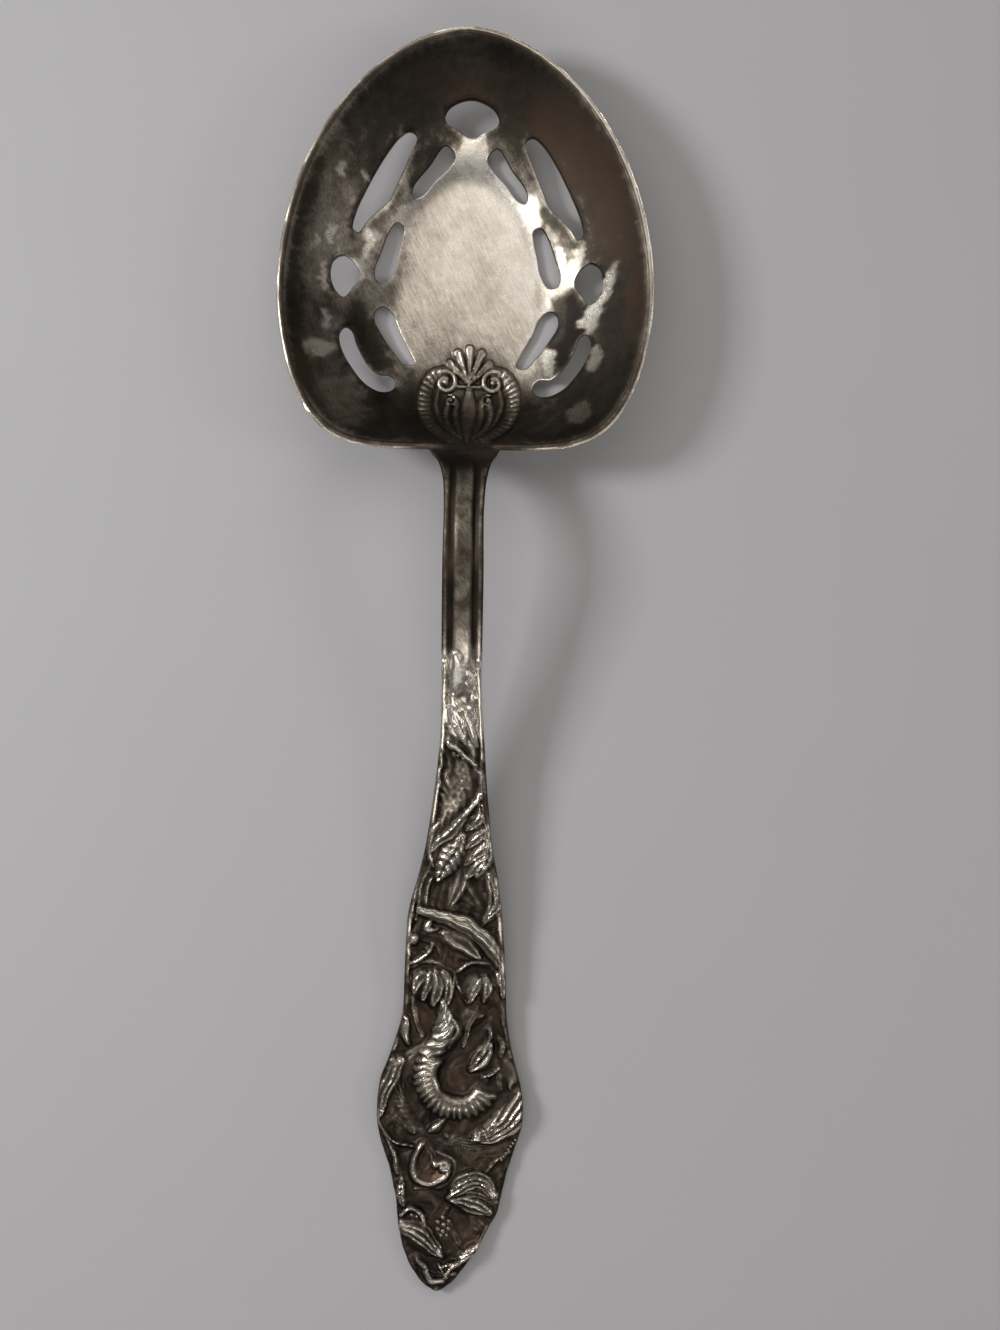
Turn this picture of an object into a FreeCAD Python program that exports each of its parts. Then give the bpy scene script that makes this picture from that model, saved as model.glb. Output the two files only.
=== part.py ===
import FreeCAD, Part
import math
import os

# A pierced serving spoon, pressed and cast as one piece of plated metal, in millimetres.
# It lies on its back: +Y runs from the handle's tip to the bowl's tip, +Z is up, and the
# origin is on the table under the middle of the spoon's length.

# Overall sizes
LENGTH = 229.0
BOWL_LENGTH = 75.0
BOWL_WIDTH = 66.8
BOWL_HEIGHT = 15.3
WIDEST_FROM_TIP = 47.7
HANDLE_WIDTH = 27.0

# Sheet of the bowl and its rim
SHEET = 1.3
RIM_THICKNESS = 1.2
RIM_CHAMFER = 0.3

# Flat worn base inside the bowl, measured from the widest line of the rim
BASE_WIDTH = 25.2
BASE_TOWARDS_TIP = 23.3
BASE_TOWARDS_NECK = 14.8
WALL_POWER = 1.5

# Roundness of the rim: the half towards the tip is egg-shaped, and the half towards the
# neck has straight flanks, tight shoulders and a flat lower edge
TIP_SIDE_POWER = 1.77
TIP_END_POWER = 2.04
NECK_SIDE_POWER = 5.6
NECK_END_POWER = 1.6

# Neck and handle
NECK_WIDTH = 7.2
NECK_THICKNESS = 3.8
NECK_RISE = 22.0
HANDLE_THICKNESS = 2.2
HEEL_FLARE = 12.8
HEEL_OVERLAP = 1.5
HEEL_THICKNESS = 2.3
PANEL_WIDTH = 3.6
GROOVE_WIDTH = 0.7
GROOVE_DEPTH = 0.45

# Carved field of the handle, measured from its tip
RELIEF_LENGTH = 117.0
RELIEF_HEIGHT = 1.15
GROUND_DEPTH = 0.35

# Ornament on the heel inside the bowl
HEEL_AXIS = 0.7
HEEL_ORNAMENT_WIDTH = 18.4
HEEL_ORNAMENT_LENGTH = 19.6
HEEL_RELIEF_HEIGHT = 0.8
HEEL_GROUND = 0.25

# Share of a piercing's side that its rounded corner may take
CORNER_SHARE = 0.42

# Rows and columns of the fitted surfaces
RIM_STEPS = 28
WALL_LEVELS = (0.0, 0.16, 0.5, 1.0)
CARVED_COLUMNS = 13
CARVED_ROW_STEP = 2.4
PLAIN_ROW_STEP = 4.5
UNDERSIDE_ROW_STEP = 12.0
HEEL_STEP = 1.6

BOWL_TIP_Y = LENGTH / 2
HANDLE_TIP_Y = -LENGTH / 2
WIDEST_Y = BOWL_TIP_Y - WIDEST_FROM_TIP
RIM_TOWARDS_NECK = BOWL_LENGTH - WIDEST_FROM_TIP
BOWL_DEPTH = BOWL_HEIGHT - SHEET

# The handle's stations count from its tip. They are drawn for a spoon and a bowl of these
# lengths, and stretched along the handle to suit the real ones.
DRAWN_LENGTHS = (229.0, 75.0)
RIM_STATION = DRAWN_LENGTHS[0] - DRAWN_LENGTHS[1]
HANDLE_STRETCH = (LENGTH - BOWL_LENGTH) / RIM_STATION

# Piercings of the bowl. A point is a share of the way up the wall, 0 at the edge of the
# base and 1 at the rim, and an angle from the bowl's tip in degrees. The side piercings
# are drawn on the right and mirrored.
TIP_PIERCING = ((0.61, 3), (0.57, 8), (0.43, 7), (0.35, 2), (0.35, -2), (0.43, -7), (0.57, -8), (0.61, -3))
SIDE_PIERCINGS = {
    "upper_long_slot": ((0.59, 21), (0.52, 17), (0.40, 25), (0.35, 36), (0.42, 49), (0.50, 59), (0.56, 53),
                        (0.57, 35)),
    "upper_short_slot": ((0.36, 9), (0.28, 6), (0.15, 12), (0.13, 24), (0.19, 28), (0.28, 20)),
    "middle_slot": ((0.21, 39), (0.11, 38), (0.08, 54), (0.08, 68), (0.15, 75), (0.24, 72), (0.25, 56)),
    "round_hole": ((0.64, 79), (0.60, 71), (0.45, 68), (0.37, 75), (0.44, 84), (0.57, 87)),
    "lower_short_slot": ((0.13, 87), (0.23, 90), (0.21, 103), (0.12, 126), (0.04, 136), (-0.02, 130),
                         (0.0, 107)),
    "lower_long_slot": ((0.49, 101), (0.56, 101), (0.57, 113), (0.51, 128), (0.42, 138), (0.28, 140),
                        (0.27, 132), (0.38, 124), (0.44, 110)),
}
PIERCING_TWIST = 1.0

# Handle edges: distance from the tip, then the left and the right edge as shares of half
# the handle's width. The pressed edge follows the leaves, so the sides differ.
HANDLE_EDGES = (
    (1.2, 0.36, 0.00), (4.0, 0.54, 0.16), (7.8, 0.67, 0.34), (14.3, 0.77, 0.61), (22.7, 0.89, 0.75),
    (32.9, 1.06, 0.94), (36.5, 1.05, 0.93), (41.4, 0.95, 0.83), (47.0, 0.81, 0.75), (54.5, 0.71, 0.69),
    (69.5, 0.67, 0.63), (77.0, 0.54, 0.55), (82.5, 0.43, 0.48), (91.7, 0.33, 0.40), (100.8, 0.25, 0.35),
)
TIP_OFFSET = 0.20

# Leaves, petals and branches of the relief: the points along each one's middle, its half
# width at the start, middle and end, and its share of the relief's height. Places are
# across from the axis and up from the handle's tip.
RIBBONS = (
    (((-0.9, 117.0), (-0.5, 114.4), (-0.6, 111.7)), (1.3, 2.3, 1.0), 0.55),
    (((-1.7, 107.9), (-0.6, 105.5), (1.1, 102.1)), (1.2, 2.3, 0.6), 0.95),
    (((0.7, 107.7), (2.2, 104.4), (3.3, 101.4)), (0.6, 1.0, 0.4), 0.85),
    (((0.8, 98.5), (0.1, 94.4), (-2.7, 88.2)), (1.6, 3.1, 0.8), 0.95),
    (((3.8, 96.6), (4.2, 93.0), (1.5, 89.1)), (0.6, 1.2, 0.5), 0.85),
    (((4.1, 90.5), (5.9, 85.3), (5.5, 80.6), (3.7, 77.8)), (1.1, 1.8, 0.9), 1.05),
    (((4.9, 89.1), (3.4, 87.9), (1.7, 86.0)), (1.2, 1.5, 0.5), 0.95),
    (((5.5, 86.4), (3.6, 85.0), (1.7, 82.7)), (1.4, 1.7, 0.5), 1.00),
    (((5.7, 83.7), (3.6, 82.1), (1.6, 79.7)), (1.4, 1.7, 0.5), 1.00),
    (((5.2, 81.2), (3.3, 79.4), (1.6, 77.2)), (1.3, 1.6, 0.5), 0.90),
    (((1.6, 89.5), (-0.6, 86.5), (-3.4, 84.1), (-4.9, 82.0)), (0.9, 1.7, 0.7), 0.85),
    (((0.9, 84.8), (-0.6, 81.7), (-2.8, 78.5), (-3.4, 76.7)), (1.4, 2.9, 0.8), 1.05),
    (((-3.7, 87.4), (-5.3, 83.1), (-4.4, 79.3)), (0.5, 1.0, 0.4), 0.75),
    (((1.0, 79.0), (0.5, 75.8), (-1.6, 71.7)), (0.7, 1.7, 0.4), 0.70),
    (((5.6, 77.7), (7.4, 74.4), (6.8, 71.6), (5.1, 69.2)), (1.4, 2.6, 0.9), 1.00),
    (((-6.8, 71.2), (-3.1, 70.0), (1.5, 68.4), (5.8, 64.9), (9.3, 59.4)), (1.1, 1.9, 1.2), 1.15),
    (((-1.0, 65.8), (0.8, 64.4), (3.9, 62.7)), (2.0, 2.6, 0.8), 1.00),
    (((-4.8, 69.1), (-5.5, 67.7), (-3.5, 67.5)), (0.8, 1.0, 0.5), 0.80),
    (((-6.2, 59.4), (-7.3, 57.7), (-7.6, 55.9)), (1.2, 1.5, 0.7), 1.00),
    (((-5.0, 59.2), (-5.4, 56.9), (-6.0, 54.5)), (1.2, 1.7, 0.8), 1.00),
    (((-3.7, 59.2), (-3.6, 56.1), (-4.2, 53.5)), (1.2, 1.8, 0.8), 1.05),
    (((-2.3, 59.2), (-1.6, 56.6), (-2.2, 53.1)), (1.2, 1.8, 0.8), 1.00),
    (((4.1, 57.9), (3.1, 55.8), (2.4, 53.8)), (1.1, 1.4, 0.7), 0.95),
    (((5.5, 58.3), (5.5, 56.7), (5.3, 54.4)), (1.2, 1.7, 0.8), 1.00),
    (((7.9, 59.2), (8.1, 57.6), (8.5, 55.3)), (1.2, 1.5, 0.8), 1.00),
    (((-1.2, 53.1), (-3.6, 50.1), (-3.7, 48.0), (-0.7, 43.8)), (1.3, 2.6, 0.8), 1.10),
    (((-1.6, 52.7), (0.0, 48.9), (-0.2, 44.5)), (0.7, 1.3, 0.6), 0.80),
    (((-9.1, 50.8), (-9.3, 48.0), (-8.5, 45.9)), (0.6, 1.1, 0.4), 0.80),
    (((6.3, 46.0), (4.9, 43.5), (2.9, 41.5)), (1.0, 2.5, 1.0), 1.00),
    (((8.0, 47.4), (8.7, 45.4), (8.5, 43.8)), (0.7, 1.2, 0.7), 0.50),
    (((-9.8, 42.9), (-11.4, 39.8), (-13.2, 35.7), (-13.6, 32.5)), (1.2, 2.1, 0.6), 0.90),
    (((-1.8, 32.1), (-2.9, 30.8), (-4.5, 29.6)), (0.6, 1.3, 0.5), 0.80),
    (((12.8, 36.2), (10.7, 32.5), (7.5, 29.6), (3.5, 28.1)), (2.6, 3.1, 0.5), 1.05),
    (((-5.9, 27.3), (-7.3, 24.1), (-6.7, 21.1), (-3.9, 20.1), (-1.2, 22.0), (-1.4, 24.0), (-3.4, 23.6)),
     (1.0, 1.6, 1.3), 1.00),
    (((-0.8, 17.6), (2.1, 19.8), (4.9, 20.5), (7.4, 18.1)), (0.8, 2.4, 1.3), 1.05),
    (((-0.1, 16.8), (2.9, 16.4), (6.5, 14.9)), (0.7, 2.3, 1.3), 0.95),
    (((-9.0, 11.8), (-6.4, 10.9), (-4.2, 8.9), (-1.9, 6.6)), (1.8, 2.6, 0.7), 1.05),
    (((-9.6, 20.7), (-9.7, 18.4), (-9.1, 16.0)), (0.7, 1.3, 0.7), 0.75),
    (((1.7, 6.4), (3.5, 7.6), (4.8, 8.9)), (0.8, 1.2, 0.5), 0.90),
    (((-5.0, 3.8), (-3.7, 2.2), (-1.7, 2.2)), (0.6, 1.0, 0.6), 0.80),
    (((9.5, 42.6), (10.5, 40.6), (10.2, 38.1)), (1.1, 2.1, 0.9), 0.50),
    (((-0.8, 107.3), (0.3, 104.3), (1.9, 101.7)), (1.5, 2.3, 1.0), 0.55),
    (((1.7, 114.5), (1.9, 113.0), (3.1, 111.2)), (0.5, 1.0, 0.4), 0.60),
    (((3.9, 89.5), (4.4, 84.5), (3.3, 78.6)), (1.8, 2.5, 1.3), 0.75),
    (((0.2, 86.0), (-1.1, 81.6), (-2.6, 78.1)), (1.7, 2.5, 1.1), 0.72),
    (((6.3, 78.3), (6.5, 73.6), (5.7, 69.6)), (1.5, 2.2, 1.1), 0.65),
    (((-2.7, 88.2), (-4.2, 84.3), (-4.9, 78.9)), (0.8, 1.4, 0.7), 0.50),
    (((4.6, 68.1), (6.9, 67.3), (8.6, 68.9)), (0.6, 1.2, 0.7), 0.60),
    (((-7.6, 57.5), (-4.2, 57.0), (-0.9, 56.8)), (1.7, 2.3, 1.6), 0.62),
    (((2.5, 55.8), (5.5, 57.1), (8.7, 57.6)), (1.4, 2.0, 1.4), 0.58),
    (((-9.8, 53.2), (-10.1, 49.6), (-11.5, 44.7)), (0.5, 1.0, 0.6), 0.45),
    (((7.9, 54.3), (9.4, 49.1), (10.7, 43.8)), (0.6, 1.3, 0.8), 0.45),
    (((4.0, 53.2), (2.4, 49.8), (1.5, 45.7)), (0.6, 1.3, 0.6), 0.42),
    (((-11.4, 42.7), (-10.8, 39.0), (-9.8, 35.0)), (1.0, 1.6, 0.8), 0.55),
    (((12.0, 35.3), (9.3, 31.2), (3.9, 28.9)), (1.6, 2.6, 0.9), 0.72),
    (((-5.3, 27.6), (-4.0, 24.2), (-6.6, 21.3)), (0.8, 1.6, 1.0), 0.50),
    (((-0.5, 17.2), (3.5, 18.0), (7.3, 16.7)), (1.2, 2.4, 1.8), 0.70),
    (((-9.2, 12.6), (-5.6, 9.7), (-2.1, 6.6)), (1.4, 2.3, 1.0), 0.66),
    (((-6.4, 5.5), (-3.9, 3.4), (0.3, 3.4)), (0.8, 1.4, 0.7), 0.50),
    (((0.7, 5.0), (3.9, 7.5), (6.6, 11.9)), (0.7, 1.1, 0.6), 0.50),
)

# Buds: place, radius and share of the relief's height
BUDS = (
    (-8.0, 65.7, 1.4, 1.05), (0.8, 39.2, 3.0, 0.42), (-1.6, 11.7, 1.8, 0.40), (-1.8, 23.0, 1.2, 1.00),
    (-7.0, 13.5, 1.0, 0.30),
)

# The trumpet flower, bent round its throat
FLOWER_CENTRE = (0.9, 40.3)
FLOWER_THROAT_RADIUS = 3.5
FLOWER_RADIUS = 8.0
FLOWER_START_ANGLE = 128.0
FLOWER_END_ANGLE = 350.0
FLOWER_RIBS = 15

# Heel ornament: its right edge as shares of half its width and of its length, from the
# foot round to the top of the fan
HEEL_EDGE = ((0.0, 0.03), (0.30, 0.04), (0.52, 0.16), (0.86, 0.34), (0.99, 0.55), (0.90, 0.74),
             (0.62, 0.82), (0.46, 0.92), (0.0, 1.0))

# Heel ornament: flutes of the fan, and ribbons and scrolls that are drawn on the right and
# mirrored. Places are across from its axis and up from the bowl's lower rim.
FAN_ROOT = 12.6
FAN_ANGLES = (0.0, 30.0, 57.0)
FAN_LENGTH = 6.0
FAN_HALF_WIDTH = 0.9
HEEL_RIBBONS = (
    (((0.0, 12.3), (2.2, 12.3)), (0.5, 0.5, 0.5), 0.7),
    (((0.0, 11.2), (0.0, 0.8)), (0.7, 1.6, 0.4), 1.0),
    (((4.5, 15.1), (6.6, 14.3), (8.0, 11.6), (8.2, 8.2), (7.0, 4.4), (4.4, 1.6), (1.6, 0.4)),
     (1.2, 1.1, 0.5), 0.9),
    (((3.9, 8.2), (4.1, 6.6), (3.6, 4.4), (2.6, 2.6), (1.0, 1.0)), (0.6, 0.5, 0.3), 0.7),
)
HEEL_SCROLLS = ((4.4, 13.0, 2.2, 0.9), (3.4, 9.5, 1.2, 0.7))


def superellipse_radius(angle, half_width, length, side_power, end_power):
    """Distance out to |x / half_width| ^ a + |y / length| ^ b = 1, with angle 0 along +Y."""
    across = abs(math.sin(angle)) / half_width
    along = abs(math.cos(angle)) / length
    low = 0.0
    high = half_width + length
    for step in range(40):
        middle = (low + high) / 2
        if (middle * across) ** side_power + (middle * along) ** end_power < 1:
            low = middle
        else:
            high = middle
    return low


def rim_radius(angle, inset):
    """Distance from the bowl's centre to a line that runs round the rim, inside its outer edge."""
    half_width = BOWL_WIDTH / 2 - inset
    if math.cos(angle) > 0:
        return superellipse_radius(angle, half_width, WIDEST_FROM_TIP - inset, TIP_SIDE_POWER, TIP_END_POWER)
    return superellipse_radius(angle, half_width, RIM_TOWARDS_NECK - inset, NECK_SIDE_POWER, NECK_END_POWER)


def base_radius(angle):
    """Distance from the bowl's centre to the edge of the flat base."""
    length = BASE_TOWARDS_TIP if math.cos(angle) > 0 else BASE_TOWARDS_NECK
    return superellipse_radius(angle, BASE_WIDTH / 2, length, 2, 2)


def wall_height(share):
    """Height of the inner wall, part of the way from the base to the rim."""
    return SHEET + BOWL_DEPTH * max(0.0, share) ** WALL_POWER


def plan_point(radius, angle):
    return radius * math.sin(angle), WIDEST_Y + radius * math.cos(angle)


def wall_point(share, angle):
    """Plan position of a point part of the way up the inner wall."""
    base = base_radius(angle)
    return plan_point(base + share * (rim_radius(angle, RIM_THICKNESS) - base), angle)


def inner_height(x, y):
    """Height of the inner wall over a plan position."""
    angle = math.atan2(x, y - WIDEST_Y)
    base = base_radius(angle)
    share = (math.hypot(x, y - WIDEST_Y) - base) / (rim_radius(angle, RIM_THICKNESS) - base)
    return wall_height(share)


def along(station, table, column):
    """Smooth value of a table's column at a station, held level past both ends."""
    if station <= table[0][0]:
        return table[0][column]
    if station >= table[-1][0]:
        return table[-1][column]
    row = 0
    while table[row + 1][0] < station:
        row += 1
    before = table[max(row - 1, 0)]
    start = table[row]
    end = table[row + 1]
    after = table[min(row + 2, len(table) - 1)]
    span = end[0] - start[0]
    start_slope = (end[column] - before[column]) / (end[0] - before[0])
    end_slope = (after[column] - start[column]) / (after[0] - start[0])
    t = (station - start[0]) / span
    rise = end[column] - start[column]
    bend = (start_slope + end_slope) * span - 2 * rise
    return start[column] + t * (start_slope * span + t * (rise - start_slope * span - (1 - t) * bend))


def edge_table():
    """Distance from the tip, left edge and right edge, from the tip to inside the rim."""
    half = HANDLE_WIDTH / 2
    neck_left = NECK_WIDTH / 2 - 0.4
    neck_right = NECK_WIDTH / 2 + 0.4
    rows = [(station, left * half, right * half) for station, left, right in HANDLE_EDGES]
    rows.append((RIM_STATION - 42.0, neck_left, neck_right))
    rows.append((RIM_STATION - 9.0, neck_left, neck_right))
    rows.append((RIM_STATION - 2.5, HEEL_FLARE / 2 * 0.68, HEEL_FLARE / 2 * 0.72))
    rows.append((RIM_STATION - 0.6, HEEL_FLARE / 2 * 0.88, HEEL_FLARE / 2 * 0.90))
    rows.append((RIM_STATION + HEEL_OVERLAP, HEEL_FLARE / 2, HEEL_FLARE / 2))
    return rows


def profile_table():
    """Distance from the tip, height of the top and thickness, seen from the side."""
    thin = HANDLE_THICKNESS
    thick = NECK_THICKNESS
    return (
        (-4.0, thin + 0.5, thin), (12.0, thin + 0.03, thin), (30.0, thin + 0.3, thin),
        (55.0, thin + 1.8, thin + 0.1),
        (80.0, thin + 5.6, thin + 0.6), (105.0, thin + 0.5 * NECK_RISE, thick - 0.4),
        (RIM_STATION - 30.0, NECK_RISE - 2.6, thick), (RIM_STATION - 13.0, NECK_RISE, thick),
        (RIM_STATION - 5.0, BOWL_HEIGHT + 0.6 * (NECK_RISE - BOWL_HEIGHT), thick - 0.4),
        (RIM_STATION - 0.8, BOWL_HEIGHT + 0.6, HEEL_THICKNESS + 0.5),
        (RIM_STATION + HEEL_OVERLAP, BOWL_HEIGHT - 0.4, HEEL_THICKNESS),
    )


def ribbon_height(x, y, ribbon):
    """Height of one leaf, petal or branch: an arched band along the line through its points."""
    points, widths, height = ribbon
    runs = len(points) - 1
    best = 0.0
    for index in range(runs):
        x0, y0 = points[index]
        run_x = points[index + 1][0] - x0
        run_y = points[index + 1][1] - y0
        share = ((x - x0) * run_x + (y - y0) * run_y) / (run_x ** 2 + run_y ** 2)
        share = max(0.0, min(1.0, share))
        way = (index + share) / runs
        half_width = (widths[0] * (1 - way) * (1 - 2 * way) + 4 * widths[1] * way * (1 - way)
                      + widths[2] * way * (2 * way - 1))
        across = math.hypot(x - x0 - share * run_x, y - y0 - share * run_y) / half_width
        best = max(best, height * (1 - across ** 2))
    return best


def bud_height(x, y, bud):
    bud_x, bud_y, radius, height = bud
    distance = math.hypot(x - bud_x, y - bud_y) / radius
    return height * (1 - distance ** 2) if distance < 1 else 0.0


def flower_height(x, y):
    """The ruffled trumpet flower: a ribbed ring, open at one side, round a deep throat."""
    dx = x - FLOWER_CENTRE[0]
    dy = y - FLOWER_CENTRE[1]
    share = (math.hypot(dx, dy) - FLOWER_THROAT_RADIUS) / (FLOWER_RADIUS - FLOWER_THROAT_RADIUS)
    angle = math.degrees(math.atan2(dy, dx)) % 360
    if share <= 0 or share >= 1 or angle < FLOWER_START_ANGLE or angle > FLOWER_END_ANGLE:
        return 0.0
    turn = (angle - FLOWER_START_ANGLE) / (FLOWER_END_ANGLE - FLOWER_START_ANGLE)
    ribs = 0.88 + 0.12 * math.cos(2 * math.pi * FLOWER_RIBS * turn)
    return ribs * math.sin(math.pi * share ** 0.8) ** 0.6 * min(1.0, 8 * turn, 8 * (1 - turn))


def scroll_height(x, y, centre, radius, eye, start, sweep, half_width):
    """A ridge that winds in from its outer radius to its eye."""
    dx = x - centre[0]
    dy = y - centre[1]
    distance = math.hypot(dx, dy)
    angle = (math.degrees(math.atan2(dy, dx)) - start) % 360
    best = 0.0
    while angle <= sweep:
        ridge = radius + (eye - radius) * angle / sweep
        share = abs(distance - ridge) / half_width
        if share < 1:
            best = max(best, 1 - share ** 2)
        angle += 360
    return best


def relief_height(x, station):
    """Height of the carving above its ground, as a share of the relief's height."""
    heights = [ribbon_height(x, station, ribbon) for ribbon in RIBBONS]
    heights += [bud_height(x, station, bud) for bud in BUDS]
    heights.append(flower_height(x, station))
    return max(heights)


def neck_panel_height(x, centre):
    """The raised panel of the neck and the groove on each side of it."""
    distance = abs(x - centre) - PANEL_WIDTH / 2
    return -GROOVE_DEPTH * math.exp(-(distance / GROOVE_WIDTH) ** 2)


def top_height(x, station):
    """Height of the handle's upper side: its side profile, carved or with the neck's panel."""
    left = along(station, edge_table(), 1)
    right = along(station, edge_table(), 2)
    level = along(station, profile_table(), 1)
    if station < RELIEF_LENGTH:
        return level - GROUND_DEPTH + RELIEF_HEIGHT * relief_height(x, station)
    fade = min(1.0, (station - RELIEF_LENGTH) / 3, max(0.0, (RIM_STATION - station) / 3))
    return level + fade * neck_panel_height(x, (right - left) / 2)


def underside_height(station):
    return along(station, profile_table(), 1) - along(station, profile_table(), 2)


def steps(start, end, step):
    count = max(1, round((end - start) / step))
    return [start + (end - start) * index / count for index in range(count + 1)]


def pole_surface(rows):
    """A smooth surface that follows a grid of points, clamped at its four edges."""
    counts = (len(rows), len(rows[0]))
    knots = [list(range(count - 2)) for count in counts]
    multiplicities = [[4] + [1] * (count - 4) + [4] for count in counts]
    surface = Part.BSplineSurface()
    surface.buildFromPolesMultsKnots(rows, multiplicities[0], multiplicities[1], knots[0], knots[1],
                                     False, False, 3, 3)
    return surface.toShape()


def handle_y(station):
    """Place along the spoon of a station of the handle."""
    return HANDLE_TIP_Y + HANDLE_STRETCH * station


def handle_surface(stations, columns, height):
    """A surface over the whole handle, a little wider than its edges."""
    edges = edge_table()
    rows = []
    for station in stations:
        left = max(along(station, edges, 1), 4.0) * 1.12
        right = max(along(station, edges, 2), 4.0) * 1.12
        row = []
        for column in range(columns):
            x = -left + (left + right) * column / (columns - 1)
            row.append(FreeCAD.Vector(x, handle_y(station), height(x, station)))
        rows.append(row)
    return pole_surface(rows)


def filled_below(surface, depth):
    return surface.extrude(FreeCAD.Vector(0, 0, -depth))


def smooth_edge(points):
    curve = Part.BSplineCurve()
    curve.interpolate([FreeCAD.Vector(*point) for point in points])
    return curve.toShape()


def closed_outline(points):
    curve = Part.BSplineCurve()
    curve.interpolate(Points=[FreeCAD.Vector(*point) for point in points], PeriodicFlag=True)
    return Part.Face(Part.Wire(curve.toShape()))


def inner_wall_point(share, angle):
    return (*wall_point(share, angle), min(wall_height(share), BOWL_HEIGHT - RIM_CHAMFER))


def outer_wall_point(share, angle):
    """The point of the outer wall that faces the inner one, a sheet's thickness away."""
    if share == 1:
        return (*plan_point(rim_radius(angle, 0.0), angle), BOWL_HEIGHT - RIM_CHAMFER)
    base = base_radius(angle)
    run = rim_radius(angle, RIM_THICKNESS) - base
    slope = math.atan(WALL_POWER * BOWL_DEPTH * share ** (WALL_POWER - 1) / run)
    radius = base + share * run + SHEET * math.sin(slope)
    return (*plan_point(radius, angle), wall_height(share) - SHEET * math.cos(slope))


def closed_line(points):
    return smooth_edge(points + points[:1])


def round_the_bowl(point_of):
    """A closed line through one point at each step round the bowl."""
    return closed_line([point_of(2 * math.pi * step / RIM_STEPS) for step in range(RIM_STEPS)])


def wall_lines(point_of):
    """The level lines of one side of the wall, from the base's edge to the rim."""
    return [round_the_bowl(lambda angle: point_of(share, angle)) for share in WALL_LEVELS]


def rim_line(inset):
    """A closed line round the top of the rim, inside its outer edge."""
    return round_the_bowl(lambda angle: (*plan_point(rim_radius(angle, inset), angle), BOWL_HEIGHT))


def solid_of(faces):
    shell = Part.Shell(faces)
    shell.sewShape()
    return Part.Solid(shell)


def bowl_body():
    """The pressed bowl: ruled bands between level lines, two base discs and the rim."""
    inner = wall_lines(inner_wall_point) + [rim_line(RIM_THICKNESS - RIM_CHAMFER)]
    outer = wall_lines(outer_wall_point) + [rim_line(RIM_CHAMFER)]
    faces = [Part.Face(Part.Wire([inner[0]])), Part.Face(Part.Wire([outer[0]]))]
    for lines in (inner, outer):
        faces += [Part.makeRuledSurface(lower, upper) for lower, upper in zip(lines, lines[1:])]
    faces.append(Part.makeFace([Part.Wire([outer[-1]]), Part.Wire([inner[-1]])], "Part::FaceMakerBullseye"))
    return solid_of(faces)


def rounded_outline(points):
    """A face inside a polygon whose corners are rounded by arcs, as large as its sides allow."""
    corners = [FreeCAD.Vector(*point) for point in points]
    edges = []
    ends = []
    for index, corner in enumerate(corners):
        back = corners[index - 1] - corner
        ahead = corners[(index + 1) % len(corners)] - corner
        reach = CORNER_SHARE * min(back.Length, ahead.Length)
        half_turn = back.getAngle(ahead) / 2
        start = corner + back.normalize() * reach
        end = corner + ahead.normalize() * reach
        radius = reach * math.tan(half_turn)
        inward = (back + ahead).normalize()
        middle = corner + inward * (reach / math.cos(half_turn) - radius)
        edges.append(Part.Arc(start, middle, end).toShape())
        ends.append((start, end))
    for index, (start, end) in enumerate(ends):
        edges.insert(2 * index, Part.makeLine(ends[index - 1][1], start))
    return Part.Face(Part.Wire(edges))


def piercing_outline(points, side):
    """Plan outline of a piercing; side is -1 for one mirrored to the left."""
    return [wall_point(share, math.radians(side * angle + PIERCING_TWIST)) for share, angle in points]


def piercing_cutters():
    """Prisms through the wall: one at the bowl's tip and the mirrored pairs at its sides."""
    outlines = [piercing_outline(TIP_PIERCING, 1)]
    for points in SIDE_PIERCINGS.values():
        outlines += [piercing_outline(points, 1), piercing_outline(points, -1)]
    cutters = []
    for outline in outlines:
        face = rounded_outline([(x, y, -SHEET) for x, y in outline])
        cutters.append(face.extrude(FreeCAD.Vector(0, 0, BOWL_HEIGHT + 2 * SHEET)))
    return cutters


def handle_plan():
    """The outline of neck and handle, from the rounded tip to a straight end in the heel."""
    edges = edge_table()
    tip = (-TIP_OFFSET * HANDLE_WIDTH / 2, HANDLE_TIP_Y, 0)
    right = [tip] + [(row[2], handle_y(row[0]), 0) for row in edges]
    left = [tip] + [(-row[1], handle_y(row[0]), 0) for row in edges]
    heel = Part.makeLine(FreeCAD.Vector(*right[-1]), FreeCAD.Vector(*left[-1]))
    outline = Part.Wire([smooth_edge(right), heel, smooth_edge(left[::-1])])
    return Part.Face(outline)


def below_handle(end):
    """The space under the handle, swept across it from its side profile."""
    profile = [(-HANDLE_WIDTH, handle_y(station), underside_height(station))
               for station in steps(-2.0, end + 1.0, UNDERSIDE_ROW_STEP)]
    first = FreeCAD.Vector(*profile[0])
    last = FreeCAD.Vector(*profile[-1])
    drop = FreeCAD.Vector(0, 0, -NECK_RISE - profile[-1][2])
    far_corner = last + drop
    near_corner = FreeCAD.Vector(first.x, first.y, far_corner.z)
    sides = [Part.makeLine(last, far_corner), Part.makeLine(far_corner, near_corner)]
    sides.append(Part.makeLine(near_corner, first))
    section = Part.Face(Part.Wire([smooth_edge(profile)] + sides))
    return section.extrude(FreeCAD.Vector(2 * HANDLE_WIDTH, 0, 0))


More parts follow.
